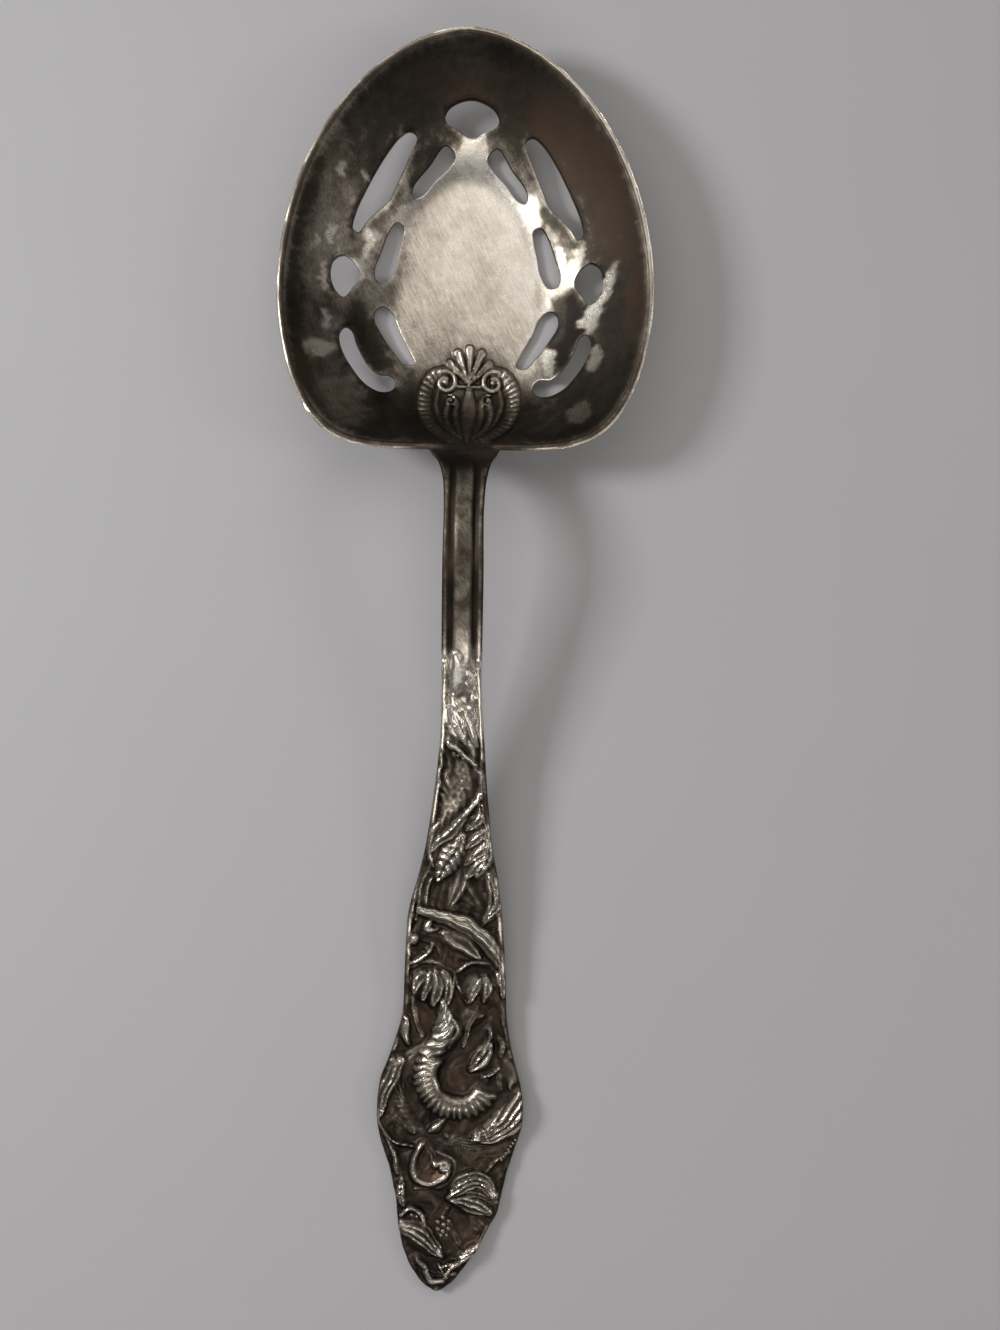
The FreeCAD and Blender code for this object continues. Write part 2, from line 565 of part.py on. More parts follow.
def handle_body():
    """Neck and handle: the plan outline raised, then trimmed by the carved top and the underside."""
    end = RIM_STATION + HEEL_OVERLAP + 1.0
    carved = steps(-2.0, RELIEF_LENGTH + 1.0, CARVED_ROW_STEP)
    plain = steps(RELIEF_LENGTH + 1.0, end, PLAIN_ROW_STEP)[1:]
    top = handle_surface(carved + plain, CARVED_COLUMNS, top_height)
    blank = handle_plan().extrude(FreeCAD.Vector(0, 0, NECK_RISE + 4))
    blank.translate(FreeCAD.Vector(0, 0, -1))
    return blank.common(filled_below(top, 2 * NECK_RISE)).cut(below_handle(end))


def heel_relief(x, rise):
    """Height of the heel ornament as a share of its relief, the same on both sides."""
    side = abs(x)
    heights = [ribbon_height(side, rise, ribbon) for ribbon in HEEL_RIBBONS]
    for angle in FAN_ANGLES:
        turn = math.radians(angle)
        tip = (FAN_LENGTH * math.sin(turn), FAN_ROOT + FAN_LENGTH * math.cos(turn))
        flute = (((0.0, FAN_ROOT), tip), (0.3, FAN_HALF_WIDTH, FAN_HALF_WIDTH), 0.9)
        heights.append(ribbon_height(side, rise, flute))
    for centre_x, centre_y, radius, height in HEEL_SCROLLS:
        centre = (centre_x, centre_y)
        coil = scroll_height(side, rise, centre, radius, radius * 0.3, 60.0, 420.0, radius * 0.3)
        heights.append(height * coil)
    return max(heights)


def heel_outline():
    """Plan outline of the heel ornament, from its foot at the rim up to the fan."""
    foot_y = WIDEST_Y - RIM_TOWARDS_NECK + RIM_THICKNESS
    half_width = HEEL_ORNAMENT_WIDTH / 2
    right = [(half_width * across, foot_y + HEEL_ORNAMENT_LENGTH * up) for across, up in HEEL_EDGE]
    left = [(-x, y) for x, y in reversed(right) if x > 0]
    return closed_outline([(HEEL_AXIS + x, y, 0.0) for x, y in right + left])


def heel_ornament():
    """The carved crest on the wall above the neck, with its foot sunk in the sheet."""
    foot_y = WIDEST_Y - RIM_TOWARDS_NECK + RIM_THICKNESS
    half = HEEL_ORNAMENT_WIDTH / 2 + HEEL_STEP
    ornament = []
    for x in steps(-half, half, HEEL_STEP):
        row = []
        for rise in steps(0.0, HEEL_ORNAMENT_LENGTH + HEEL_STEP, HEEL_STEP):
            y = foot_y + rise
            raised = HEEL_GROUND + HEEL_RELIEF_HEIGHT * heel_relief(x, rise)
            row.append(FreeCAD.Vector(HEEL_AXIS + x, y, inner_height(HEEL_AXIS + x, y) + raised))
        ornament.append(row)
    plate = filled_below(pole_surface(ornament), SHEET)
    return plate.common(heel_outline().extrude(FreeCAD.Vector(0, 0, BOWL_HEIGHT + SHEET)))


def spoon():
    """The finished spoon as one solid."""
    body = bowl_body().fuse(handle_body()).fuse(heel_ornament())
    for cutter in piercing_cutters():
        body = body.cut(cutter)
    return body.Solids[0]


if __name__ == "__main__":
    os.makedirs("parts", exist_ok=True)
    spoon().exportStep("parts/spoon.step")
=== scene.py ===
"""A pierced serving spoon in worn and tarnished silver plate.

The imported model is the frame. The spoon is made again as one closed mesh of the same form:
two height maps, its upper and its lower side, over one plan outline with its piercings, with
the carving of the handle and the heel worked into the upper one.
"""
import math

import bpy
import numpy as np
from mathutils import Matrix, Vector, kdtree
from mathutils.geometry import delaunay_2d_cdt


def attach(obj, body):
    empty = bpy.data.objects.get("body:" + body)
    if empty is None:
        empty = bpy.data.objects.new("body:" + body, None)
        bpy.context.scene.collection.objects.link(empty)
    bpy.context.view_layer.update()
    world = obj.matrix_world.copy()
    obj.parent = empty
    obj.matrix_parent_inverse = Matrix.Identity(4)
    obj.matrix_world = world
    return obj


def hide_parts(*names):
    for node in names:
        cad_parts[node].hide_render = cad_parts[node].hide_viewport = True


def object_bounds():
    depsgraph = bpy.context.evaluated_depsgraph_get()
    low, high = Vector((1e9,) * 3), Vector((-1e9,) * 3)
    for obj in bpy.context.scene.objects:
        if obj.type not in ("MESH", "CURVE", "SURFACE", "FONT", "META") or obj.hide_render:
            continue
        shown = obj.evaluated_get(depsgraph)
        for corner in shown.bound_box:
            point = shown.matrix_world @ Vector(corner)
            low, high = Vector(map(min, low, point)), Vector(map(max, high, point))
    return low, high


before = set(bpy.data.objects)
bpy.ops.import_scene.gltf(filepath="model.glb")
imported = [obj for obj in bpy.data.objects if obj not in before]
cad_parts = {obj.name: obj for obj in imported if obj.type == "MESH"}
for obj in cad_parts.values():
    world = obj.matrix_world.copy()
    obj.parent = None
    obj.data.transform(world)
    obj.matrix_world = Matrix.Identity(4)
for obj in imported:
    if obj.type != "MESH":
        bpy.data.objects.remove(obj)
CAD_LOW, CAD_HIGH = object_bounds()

bl_info = {
    "name": "Pierced serving spoon",
    "version": (1, 0, 0),
    "blender": (4, 5, 0),
    "location": "3D View > Sidebar > Spoon",
    "description": "Builds a tarnished, pierced serving spoon with a carved handle, and its stage",
    "category": "Add Mesh",
}

MM = 0.001
SPOON_LENGTH = CAD_HIGH.y - CAD_LOW.y
BOWL_WIDTH = CAD_HIGH.x - CAD_LOW.x

# Rim of the bowl as superellipse powers: towards the tip it is egg-shaped, and towards the
# neck it has straight flanks, tight shoulders and a flat lower edge
TIP_POWERS = (1.77, 2.04)
NECK_POWERS = (5.6, 1.6)

# Power of the wall's climb, and the share of the wall that leaves the floor more gently
WALL_POWER = 1.5
WALL_START = 0.15

# How forms of the carving run into each other: the more, the harder the seam between them
BLEND = 5

# Points between two given ones of a curve, points round the outline and the rim before they
# are spaced evenly, and halvings that find a radius
CURVE_SAMPLES = 24
OUTLINE_SAMPLES = 1200
RIM_SAMPLES = 1500
RIM_HALVINGS = 36
UNDERSIDE_HALVINGS = 24

# Piercings: share of the way up the wall and degrees clockwise from the bowl's tip
TIP_PIERCING = ((0.61, 0), (0.597, 4), (0.565, 7.1), (0.52, 8.2), (0.475, 7.6), (0.43, 5.2), (0.36, 1),
                (0.36, -1), (0.43, -5.2), (0.475, -7.6), (0.52, -8.2), (0.565, -7.1), (0.597, -4))
SIDE_PIERCINGS = {
    "upper_long_slot": ((0.56, 19.5), (0.50, 18), (0.42, 23), (0.36, 31), (0.345, 37), (0.39, 44), (0.44, 51),
                        (0.48, 57), (0.53, 57), (0.55, 51), (0.55, 42), (0.565, 31), (0.58, 23)),
    "upper_short_slot": ((0.34, 9), (0.24, 6), (0.17, 9), (0.14, 15), (0.13, 23), (0.18, 27), (0.24, 25),
                         (0.27, 16)),
    "middle_slot": ((0.20, 40), (0.13, 38), (0.09, 43), (0.08, 51), (0.08, 62), (0.14, 72), (0.22, 73),
                    (0.26, 68), (0.24, 57), (0.23, 47)),
    "round_hole": ((0.63, 79), (0.62, 73), (0.54, 69), (0.44, 70), (0.38, 75), (0.43, 81), (0.51, 87),
                   (0.59, 84)),
    "lower_short_slot": ((0.14, 88), (0.21, 91), (0.23, 97), (0.18, 107), (0.11, 123), (0.08, 132),
                         (0.00, 136), (-0.02, 128), (0.01, 107), (0.05, 94)),
    "lower_long_slot": ((0.50, 101), (0.56, 104), (0.57, 110), (0.53, 120), (0.49, 129), (0.43, 136),
                        (0.34, 139), (0.26, 137), (0.26, 132), (0.34, 128), (0.39, 121), (0.43, 110),
                        (0.45, 103)),
}

# Degrees by which all piercings are turned about the bowl's centre
PIERCING_TWIST = 1.0

# Handle edges: millimetres from the tip, then out to the left and to the right edge
HANDLE_EDGES = (
    (1.2, 5.0, -0.4), (4.0, 7.4, 2.0), (7.8, 9.1, 4.6), (11.5, 9.9, 6.5), (14.3, 10.3, 8.1),
    (17.1, 10.6, 8.8), (22.7, 11.9, 10.1), (26.4, 13.1, 11.3), (30.1, 14.1, 12.4),
    (32.9, 14.3, 12.7), (35.7, 14.2, 12.6), (39.4, 13.7, 11.9), (42.5, 12.5, 11.0),
    (47.0, 11.0, 10.0), (51.5, 9.8, 9.4), (58.0, 9.5, 9.2), (64.0, 9.3, 8.8), (69.5, 9.0, 8.4),
    (73.2, 8.3, 7.9), (77.0, 7.2, 7.4), (82.5, 5.9, 6.4), (91.7, 4.5, 5.4), (100.8, 3.5, 4.7),
    (112.0, 3.2, 4.1), (132.5, 3.1, 4.1), (143.0, 3.0, 4.0), (148.5, 3.3, 4.4), (151.8, 4.3, 5.2),
    (153.4, 5.5, 6.2), (155.5, 6.3, 6.5),
)

# How far to the left of the axis the handle's tip lies
TIP_OFFSET = 2.7

# Carving on the handle, in millimetres across from the axis and up from the handle's tip. A
# ribbon has the points its middle follows, its half width at the start, middle and end, its
# share of the relief's height, what its surface is worked into, and how many times.
RIBBONS = (
    (((-0.9, 117.0), (-0.5, 114.4), (-0.6, 111.7)), (1.4, 2.3, 1.0), 0.55, "plain", 0),
    (((-1.7, 107.9), (-0.6, 105.5), (1.1, 102.1)), (1.2, 2.4, 0.56), 0.95, "flutes", 3),
    (((0.7, 107.7), (2.2, 104.4), (3.3, 101.4)), (0.63, 1.1, 0.42), 0.85, "plain", 0),
    (((-1.7, 101.7), (0.4, 100.2), (3.2, 97.9)), (0.53, 0.79, 0.53), 0.7, "plain", 0),
    (((0.8, 98.5), (0.1, 94.4), (-2.7, 88.2)), (1.6, 3.3, 0.80), 0.62, "pod", 0),
    (((3.8, 96.6), (4.2, 93.0), (1.5, 89.1)), (0.64, 1.2, 0.53), 0.85, "plain", 0),
    (((4.1, 90.5), (5.9, 85.3), (5.5, 80.6), (3.7, 77.8)), (1.1, 1.8, 0.89), 1.05, "veins", 7),
    (((4.9, 89.1), (3.4, 87.9), (1.7, 86.0)), (1.3, 1.5, 0.46), 0.95, "flutes", 2),
    (((5.5, 86.4), (3.6, 85.0), (1.7, 82.7)), (1.4, 1.7, 0.46), 1.0, "flutes", 2),
    (((5.7, 83.7), (3.6, 82.1), (1.6, 79.7)), (1.4, 1.7, 0.46), 1.0, "flutes", 2),
    (((5.2, 81.2), (3.3, 79.4), (1.6, 77.2)), (1.3, 1.6, 0.46), 0.9, "flutes", 2),
    (((1.6, 89.5), (-0.6, 86.5), (-3.4, 84.1), (-4.9, 82.0)), (0.91, 1.7, 0.69), 0.85, "flutes", 2),
    (((0.9, 84.8), (-0.6, 81.7), (-2.8, 78.5), (-3.4, 76.7)), (1.4, 2.9, 0.78), 1.05, "veins", 6),
    (((-3.7, 87.4), (-5.3, 83.1), (-4.4, 79.3)), (0.53, 1.0, 0.43), 0.75, "plain", 0),
    (((1.0, 79.0), (0.5, 75.8), (-1.6, 71.7)), (0.70, 1.7, 0.40), 0.7, "groove", 1),
    (((5.6, 77.7), (7.4, 74.4), (6.8, 71.6), (5.1, 69.2)), (1.4, 2.6, 0.92), 1.0, "flutes", 4),
    (((-4.7, 80.4), (-6.4, 76.1), (-7.5, 69.2)), (0.38, 0.54, 0.43), 0.6, "plain", 0),
    (((-5.8, 82.0), (-7.2, 76.9), (-8.2, 71.0)), (0.38, 0.48, 0.38), 0.6, "plain", 0),
    (((-4.2, 78.1), (-5.3, 75.0), (-5.7, 71.2)), (0.38, 0.48, 0.38), 0.5, "plain", 0),
    (((-6.8, 71.2), (-3.1, 70.0), (1.5, 68.4), (5.8, 64.9), (9.3, 59.4)), (1.2, 2.5, 1.5), 1.2, "bark", 4),
    (((-1.6, 65.9), (0.6, 64.6), (3.9, 62.5)), (2.2, 3.1, 1.0), 1.0, "flutes", 2),
    (((-4.8, 69.1), (-5.5, 67.7), (-3.5, 67.5)), (0.75, 1.0, 0.54), 0.8, "plain", 0),
    (((-4.2, 64.8), (-5.7, 62.6), (-8.4, 61.1)), (0.49, 0.75, 0.54), 0.75, "plain", 0),
    (((-6.2, 59.4), (-7.3, 57.7), (-7.6, 55.9)), (1.2, 1.6, 0.72), 1.0, "flutes", 2),
    (((-5.0, 59.2), (-5.4, 56.9), (-6.0, 54.5)), (1.2, 1.7, 0.84), 1.0, "flutes", 2),
    (((-3.7, 59.2), (-3.6, 56.1), (-4.2, 53.5)), (1.2, 1.8, 0.84), 1.05, "flutes", 2),
    (((-2.3, 59.2), (-1.6, 56.6), (-2.2, 53.1)), (1.2, 1.8, 0.84), 1.0, "flutes", 2),
    (((4.1, 57.9), (3.1, 55.8), (2.4, 53.8)), (1.1, 1.4, 0.72), 0.95, "flutes", 2),
    (((5.5, 58.3), (5.5, 56.7), (5.3, 54.4)), (1.2, 1.7, 0.84), 1.0, "flutes", 2),
    (((7.9, 59.2), (8.1, 57.6), (8.5, 55.3)), (1.2, 1.6, 0.84), 1.0, "flutes", 2),
    (((-0.3, 59.5), (-0.4, 55.8), (-2.0, 52.3)), (0.33, 0.45, 0.33), 0.7, "plain", 0),
    (((-0.1, 59.1), (0.7, 56.2), (2.2, 53.2)), (0.28, 0.39, 0.28), 0.55, "plain", 0),
    (((-2.6, 53.9), (-1.9, 50.4), (-2.4, 47.2), (-5.0, 44.4)), (1.0, 2.7, 2.0), 1.15, "twist", 5),
    (((-0.6, 51.6), (0.5, 48.6), (-1.0, 45.4)), (0.6, 1.1, 0.6), 0.8, "flutes", 1),
    (((-9.1, 50.8), (-9.3, 48.0), (-8.5, 45.9)), (0.56, 1.1, 0.45), 0.8, "plain", 0),
    (((6.3, 46.0), (4.9, 43.5), (2.9, 41.5)), (1.0, 2.5, 1.0), 1.0, "flutes", 3),
    (((8.1, 41.6), (6.6, 40.5), (5.0, 39.9)), (0.45, 0.67, 0.45), 0.7, "plain", 0),
    (((6.4, 49.0), (6.6, 47.8), (6.1, 46.6)), (0.45, 0.67, 0.45), 0.65, "plain", 0),
    (((8.0, 47.4), (8.7, 45.4), (8.5, 43.8)), (0.69, 1.2, 0.69), 0.5, "veins", 4),
    (((-9.8, 42.9), (-11.4, 39.8), (-13.2, 35.7), (-13.6, 32.5)), (1.2, 2.3, 0.60), 0.9, "flutes", 3),
    (((-14.1, 33.7), (-13.1, 30.0), (-10.7, 27.6), (-7.0, 26.9)), (0.34, 0.50, 0.34), 0.7, "plain", 0),
    (((-13.1, 29.2), (-11.2, 26.1), (-10.4, 21.8)), (0.34, 0.56, 0.34), 0.55, "plain", 0),
    (((-1.8, 32.1), (-2.9, 30.8), (-4.5, 29.6)), (0.60, 1.3, 0.48), 0.8, "flutes", 1),
    (((12.8, 36.2), (10.7, 32.5), (7.5, 29.6), (3.5, 28.1)), (2.6, 3.1, 0.48), 1.05, "flutes", 5),
    (((2.0, 22.8), (4.0, 22.8), (5.7, 22.1), (7.3, 23.3), (8.1, 24.5), (10.4, 26.0)),
     (0.28, 0.39, 0.28), 0.45, "plain", 0),
    (((-5.9, 27.3), (-7.3, 24.1), (-6.7, 21.1), (-3.9, 20.1), (-1.2, 22.0), (-1.4, 24.0), (-3.4, 23.6)),
     (1.0, 1.6, 1.3), 1.0, "flutes", 1),
    (((-3.4, 26.0), (-0.2, 24.4), (0.1, 21.8), (-2.3, 19.4), (-7.1, 18.9)),
     (0.34, 0.50, 0.34), 0.5, "plain", 0),
    (((-0.8, 17.6), (2.1, 19.8), (4.9, 20.5), (7.4, 18.1)), (0.84, 2.4, 1.3), 1.05, "flutes", 4),
    (((-0.1, 16.8), (2.9, 16.4), (6.5, 14.9)), (0.72, 2.3, 1.3), 0.95, "flutes", 3),
    (((-9.5, 14.0), (-7.7, 15.3), (-5.7, 14.1), (-5.4, 11.9)), (0.56, 0.84, 0.56), 0.8, "plain", 0),
    (((-9.0, 11.8), (-6.4, 10.9), (-4.2, 8.9), (-1.9, 6.6)), (1.8, 2.6, 0.72), 1.05, "flutes", 4),
    (((-9.6, 20.7), (-9.7, 18.4), (-9.1, 16.0)), (0.70, 1.3, 0.70), 0.75, "veins", 4),
    (((1.7, 6.4), (3.5, 7.6), (4.8, 8.9)), (0.84, 1.2, 0.48), 0.9, "flutes", 2),
    (((-2.3, 4.4), (1.1, 5.4), (4.7, 7.5)), (0.39, 0.62, 0.39), 0.75, "plain", 0),
    (((-6.4, 5.9), (-5.1, 4.9), (-4.5, 3.8)), (0.45, 0.78, 0.45), 0.8, "plain", 0),
    (((-5.0, 3.8), (-3.7, 2.2), (-1.7, 2.2)), (0.56, 1.0, 0.56), 0.8, "plain", 0),
    (((-2.7, 5.4), (-1.9, 4.2), (-1.1, 2.8)), (0.34, 0.50, 0.34), 0.7, "plain", 0),
    (((-1.5, 2.8), (-0.1, 4.4), (1.5, 5.2)), (0.34, 0.50, 0.34), 0.7, "plain", 0),
    (((9.5, 42.6), (10.5, 40.6), (10.2, 38.1)), (1.1, 2.1, 0.89), 0.5, "plain", 0),
    (((1.6, 49.7), (2.4, 51.8), (4.8, 51.4)), (0.46, 1.2, 0.69), 0.4, "veins", 5),
    (((-0.8, 107.3), (0.3, 104.3), (1.9, 101.7)), (1.5, 2.3, 1.0), 0.55, "flutes", 5),
    (((-2.7, 116.3), (-2.6, 111.1), (-3.0, 102.0)), (0.34, 0.45, 0.37), 0.6, "ribs", 16),
    (((3.4, 116.4), (3.7, 109.3), (4.2, 99.1)), (0.38, 0.45, 0.38), 0.6, "plain", 0),
    (((1.7, 114.5), (1.9, 113.0), (3.1, 111.2)), (0.52, 1.0, 0.45), 0.6, "flutes", 2),
    (((-0.7, 99.8), (1.9, 99.1), (3.8, 96.0)), (0.60, 0.83, 0.53), 0.5, "bark", 3),
    (((-3.3, 97.4), (-4.4, 92.1), (-4.0, 89.0)), (0.45, 0.68, 0.38), 0.5, "flutes", 2),
    (((3.9, 89.5), (4.4, 84.5), (3.3, 78.6)), (1.8, 2.5, 1.3), 0.75, "flutes", 6),
    (((6.0, 88.4), (6.6, 84.5), (6.7, 80.2)), (0.46, 0.76, 0.46), 0.8, "veins", 6),
    (((0.2, 86.0), (-1.1, 81.6), (-2.6, 78.1)), (1.7, 2.5, 1.1), 0.72, "flutes", 5),
    (((6.3, 78.3), (6.5, 73.6), (5.7, 69.6)), (1.5, 2.2, 1.1), 0.65, "flutes", 6),
    (((-2.7, 88.2), (-4.2, 84.3), (-4.9, 78.9)), (0.76, 1.4, 0.69), 0.5, "flutes", 3),
    (((-6.5, 80.0), (-7.2, 74.5), (-7.5, 70.2)), (0.92, 1.3, 1.0), 0.3, "flutes", 5),
    (((4.6, 68.1), (6.9, 67.3), (8.6, 68.9)), (0.61, 1.2, 0.69), 0.6, "flutes", 3),
    (((-9.0, 68.2), (-9.1, 64.7), (-8.4, 62.3)), (0.54, 0.69, 0.54), 0.55, "plain", 0),
    (((-6.9, 66.7), (-3.8, 64.8), (-1.9, 61.2)), (0.85, 1.5, 1.0), 0.32, "bark", 5),
    (((2.3, 62.1), (5.0, 61.7), (7.4, 59.8)), (0.69, 1.2, 0.62), 0.4, "flutes", 3),
    (((1.8, 75.5), (2.6, 73.1), (3.4, 71.2)), (0.54, 1.0, 0.46), 0.3, "bark", 3),
    (((-7.6, 57.5), (-4.2, 57.0), (-0.9, 56.8)), (1.7, 2.3, 1.6), 0.62, "twist", 9),
    (((2.5, 55.8), (5.5, 57.1), (8.7, 57.6)), (1.4, 2.0, 1.4), 0.58, "twist", 8),
    (((-8.4, 60.2), (-4.9, 61.5), (-0.5, 59.7)), (0.48, 0.64, 0.48), 0.5, "plain", 0),
    (((-0.1, 59.5), (3.9, 61.5), (8.8, 60.2)), (0.48, 0.64, 0.48), 0.5, "plain", 0),
    (((-8.2, 54.8), (-7.6, 51.2), (-6.1, 46.8)), (0.56, 1.0, 0.48), 0.4, "flutes", 2),
    (((-9.8, 53.2), (-10.1, 49.6), (-11.5, 44.7)), (0.48, 1.0, 0.56), 0.45, "flutes", 2),
    (((7.9, 54.3), (9.4, 49.1), (10.7, 43.8)), (0.64, 1.3, 0.80), 0.45, "veins", 8),
    (((4.0, 53.2), (2.4, 49.8), (1.5, 45.7)), (0.64, 1.3, 0.64), 0.42, "flutes", 3),
    (((-11.4, 42.7), (-10.8, 39.0), (-9.8, 35.0)), (1.0, 1.6, 0.80), 0.55, "flutes", 4),
    (((-12.1, 33.3), (-9.7, 30.9), (-5.3, 29.8)), (0.80, 1.8, 0.80), 0.34, "flutes", 4),
    (((12.0, 35.3), (9.3, 31.2), (3.9, 28.9)), (1.6, 2.6, 0.88), 0.72, "flutes", 8),
    (((1.6, 25.5), (6.4, 25.5), (10.8, 27.6)), (0.72, 1.4, 0.80), 0.36, "veins", 12),
    (((-5.3, 27.6), (-4.0, 24.2), (-6.6, 21.3)), (0.80, 1.6, 1.0), 0.5, "flutes", 3),
    (((-2.9, 28.2), (0.4, 26.6), (2.8, 24.3)), (0.56, 1.0, 0.56), 0.32, "flutes", 3),
    (((-0.5, 17.2), (3.5, 18.0), (7.3, 16.7)), (1.2, 2.4, 1.8), 0.7, "flutes", 6),
    (((-9.2, 12.6), (-5.6, 9.7), (-2.1, 6.6)), (1.4, 2.3, 1.0), 0.66, "flutes", 6),
    (((-6.4, 5.5), (-3.9, 3.4), (0.3, 3.4)), (0.80, 1.4, 0.72), 0.5, "flutes", 4),
    (((0.7, 5.0), (3.9, 7.5), (6.6, 11.9)), (0.72, 1.1, 0.64), 0.5, "flutes", 3),
    (((0.2, 11.0), (1.0, 9.0), (1.9, 7.8)), (0.56, 1.0, 0.48), 0.35, "flutes", 2),
    (((-10.0, 22.9), (-9.1, 20.1), (-8.5, 16.4)), (0.56, 1.1, 0.64), 0.35, "flutes", 2),
    (((8.4, 25.6), (8.4, 21.5), (7.4, 14.3)), (1.0, 1.4, 1.0), 0.22, "plain", 0),
    (((-12.4, 38.8), (-11.2, 34.6), (-7.4, 29.4)), (1.2, 2.9, 0.8), 0.46, "veins", 9),
    (((-1.2, 28.6), (4.0, 27.0), (10.2, 29.0)), (1.0, 2.6, 1.7), 0.46, "flutes", 8),
    (((-7.6, 22.6), (-4.6, 17.6), (-1.0, 15.4)), (0.8, 1.9, 0.7), 0.36, "plain", 0),
    (((3.4, 14.0), (5.2, 12.0), (6.4, 9.6)), (0.8, 1.8, 0.7), 0.36, "flutes", 4),
    (((-3.6, 45.6), (-8.2, 43.4), (-9.6, 38.0)), (0.6, 1.5, 0.6), 0.42, "flutes", 3),
    (((4.2, 45.2), (7.4, 42.4), (8.6, 37.6)), (0.6, 1.3, 0.6), 0.42, "veins", 6),
)

# Round buds of the carving: place, radius and share of the relief's height. One below
# nothing is a round hollow.
BALLS = (
    (1.2, 109.9, 1.79, -0.35), (2.6, 109.8, 0.63, 0.8), (-8.0, 65.7, 1.38, 1.05),
    (0.8, 39.2, 2.99, 0.24), (-1.6, 11.7, 1.84, 0.4), (-1.8, 23.0, 1.20, 1.0),
    (-7.0, 13.5, 0.96, 0.3),
)

# Berries and seed beads that are set on the carving: place and radius, and a row along the
# edge with its first and last place, how many, and their radius
BEADS = (
    (-0.8, 100.1, 0.34), (0.0, 99.7, 0.34), (0.9, 99.2, 0.34), (-1.8, 13.6, 0.56),
    (-2.7, 12.8, 0.58), (-1.6, 12.4, 0.60), (-0.7, 13.0, 0.50), (-2.7, 11.6, 0.56),
    (-1.7, 11.2, 0.60), (-0.7, 11.7, 0.58), (-2.1, 10.4, 0.50), (-1.0, 10.4, 0.50),
    (-7.6, 14.0, 0.32), (-6.6, 13.8, 0.32),
)
EDGE_BEADS = ((8.9, 24.6), (11.4, 28.2), 7, 0.32)

# How a bead is made: the share of its radius that is sunk, how often the ball is divided,
# its flatness, and what the material reads on it, with more tarnish down its sides
BEAD_SINK = 0.1
BEAD_ROUNDNESS = 3
BEAD_FLATNESS = 0.8
BEAD_FINISH = {"tarnish": 0.40, "ridge": 0.0, "amber": 0.1, "carved": 0.4}
BEAD_SIDE_TARNISH = 0.5

# The trumpet flower: a ribbed tube bent round its throat, from one angle to the other
FLOWER = {"centre": (0.6, 40.1), "throat": 3.5, "radius": 8.8, "start": 122.0, "end": 352.0, "ribs": 21}

# The strip along the carving's edges: its share of the relief's height, and its seam's depth
BORDER_RISE = 0.25
SEAM_DEPTH = 0.30

# Ornament on the heel, in millimetres across from its axis and up from the inner foot of the
# rim, drawn on the right and mirrored. A fan of flutes, as angle and length, stands on its
# root over a bar, with scrolls and ribbed arms on both sides and a bud between them. A scroll
# has its place, radius and share of the relief's height.
HEEL_AXIS = 0.7
FAN_ROOT = 12.6
FAN_FLUTES = ((0.0, 6.7), (21.0, 6.3), (43.0, 5.4))
HEEL_RIBBONS = (
    (((-2.2, 12.3), (0.0, 12.1), (2.2, 12.3)), (0.5, 0.45, 0.5), 0.7, "plain", 0),
    (((0.0, 11.0), (0.0, 7.0), (0.0, 0.8)), (1.0, 1.6, 0.5), 1.0, "plain", 0),
    (((2.1, 9.6), (2.2, 5.6), (1.0, 1.2)), (0.4, 0.8, 0.3), 0.75, "plain", 0),
    (((5.6, 11.8), (6.0, 8.6), (4.6, 4.4), (2.2, 1.6)), (0.4, 0.6, 0.3), 0.55, "plain", 0),
    (((4.5, 15.1), (6.6, 14.3), (8.0, 11.6), (8.2, 8.2), (7.0, 4.4), (4.4, 1.6), (1.6, 0.4)),
     (1.3, 1.45, 0.7), 0.95, "ribs", 19),
    (((3.9, 8.2), (4.1, 6.6), (3.6, 4.4), (2.6, 2.6), (1.0, 1.0)), (0.7, 0.7, 0.4), 0.9, "ribs", 10),
)
HEEL_VOLUTES = ((4.4, 13.0, 2.2, 0.9), (3.4, 9.5, 1.2, 0.8))

# The part of the heel that has finer points: half its width, and its rise from that foot
HEEL_HALF_WIDTH = 10.0
HEEL_RISE = 20.5

# Rows of points inside the rim and inside every edge, and the spacing of those between: for
# the upper side as shares of the carving's step over the handle, neck, heel and bowl, and
# for the plain underside in millimetres
UPPER_RIM_ROWS = ((0.1, 0.25, 0.5, 0.75, 1.0, 1.14, 1.26), 0.45)
UPPER_EDGE_ROWS = (0.07, 0.17, 0.31)
UPPER_STEPS = (1.0, 1.0, 1.6, 2.4)
UNDER_RIM_ROWS = ((0.25, 0.7), 0.6)
UNDER_EDGE_ROWS = (0.1, 0.3)
UNDER_STEPS = (0.9, 0.9, 0.9, 0.95)

# Sides of the rectangles that those points fill
HANDLE_SPAN = (-15.5, 14.5)
HEEL_SPAN = (-11.0, 12.5)
BOWL_SPAN = (-35.0, 35.0)
HEEL_FIELD_RISE = 24

# The metal swells under its carved forms: by this share of their height, averaged over the
# mesh this many times
MASS_SHARE = 0.55
MASS_ROUNDS = 110

# How often heights are averaged to soften the ground of the carving and the neck's foot
GROUND_ROUNDS = 4
FOOT_ROUNDS = 60

# A ridge stands over the averaged height: how often that is averaged, and how many
# millimetres over it count as a full ridge
FINE_RIDGES = (10, 0.10)
BROAD_RIDGES = (45, 0.35)

# Least thickness at an edge in millimetres, and the degrees past which an edge looks sharp
EDGE_THICKNESS = 0.25
SHARP_ANGLE = 38


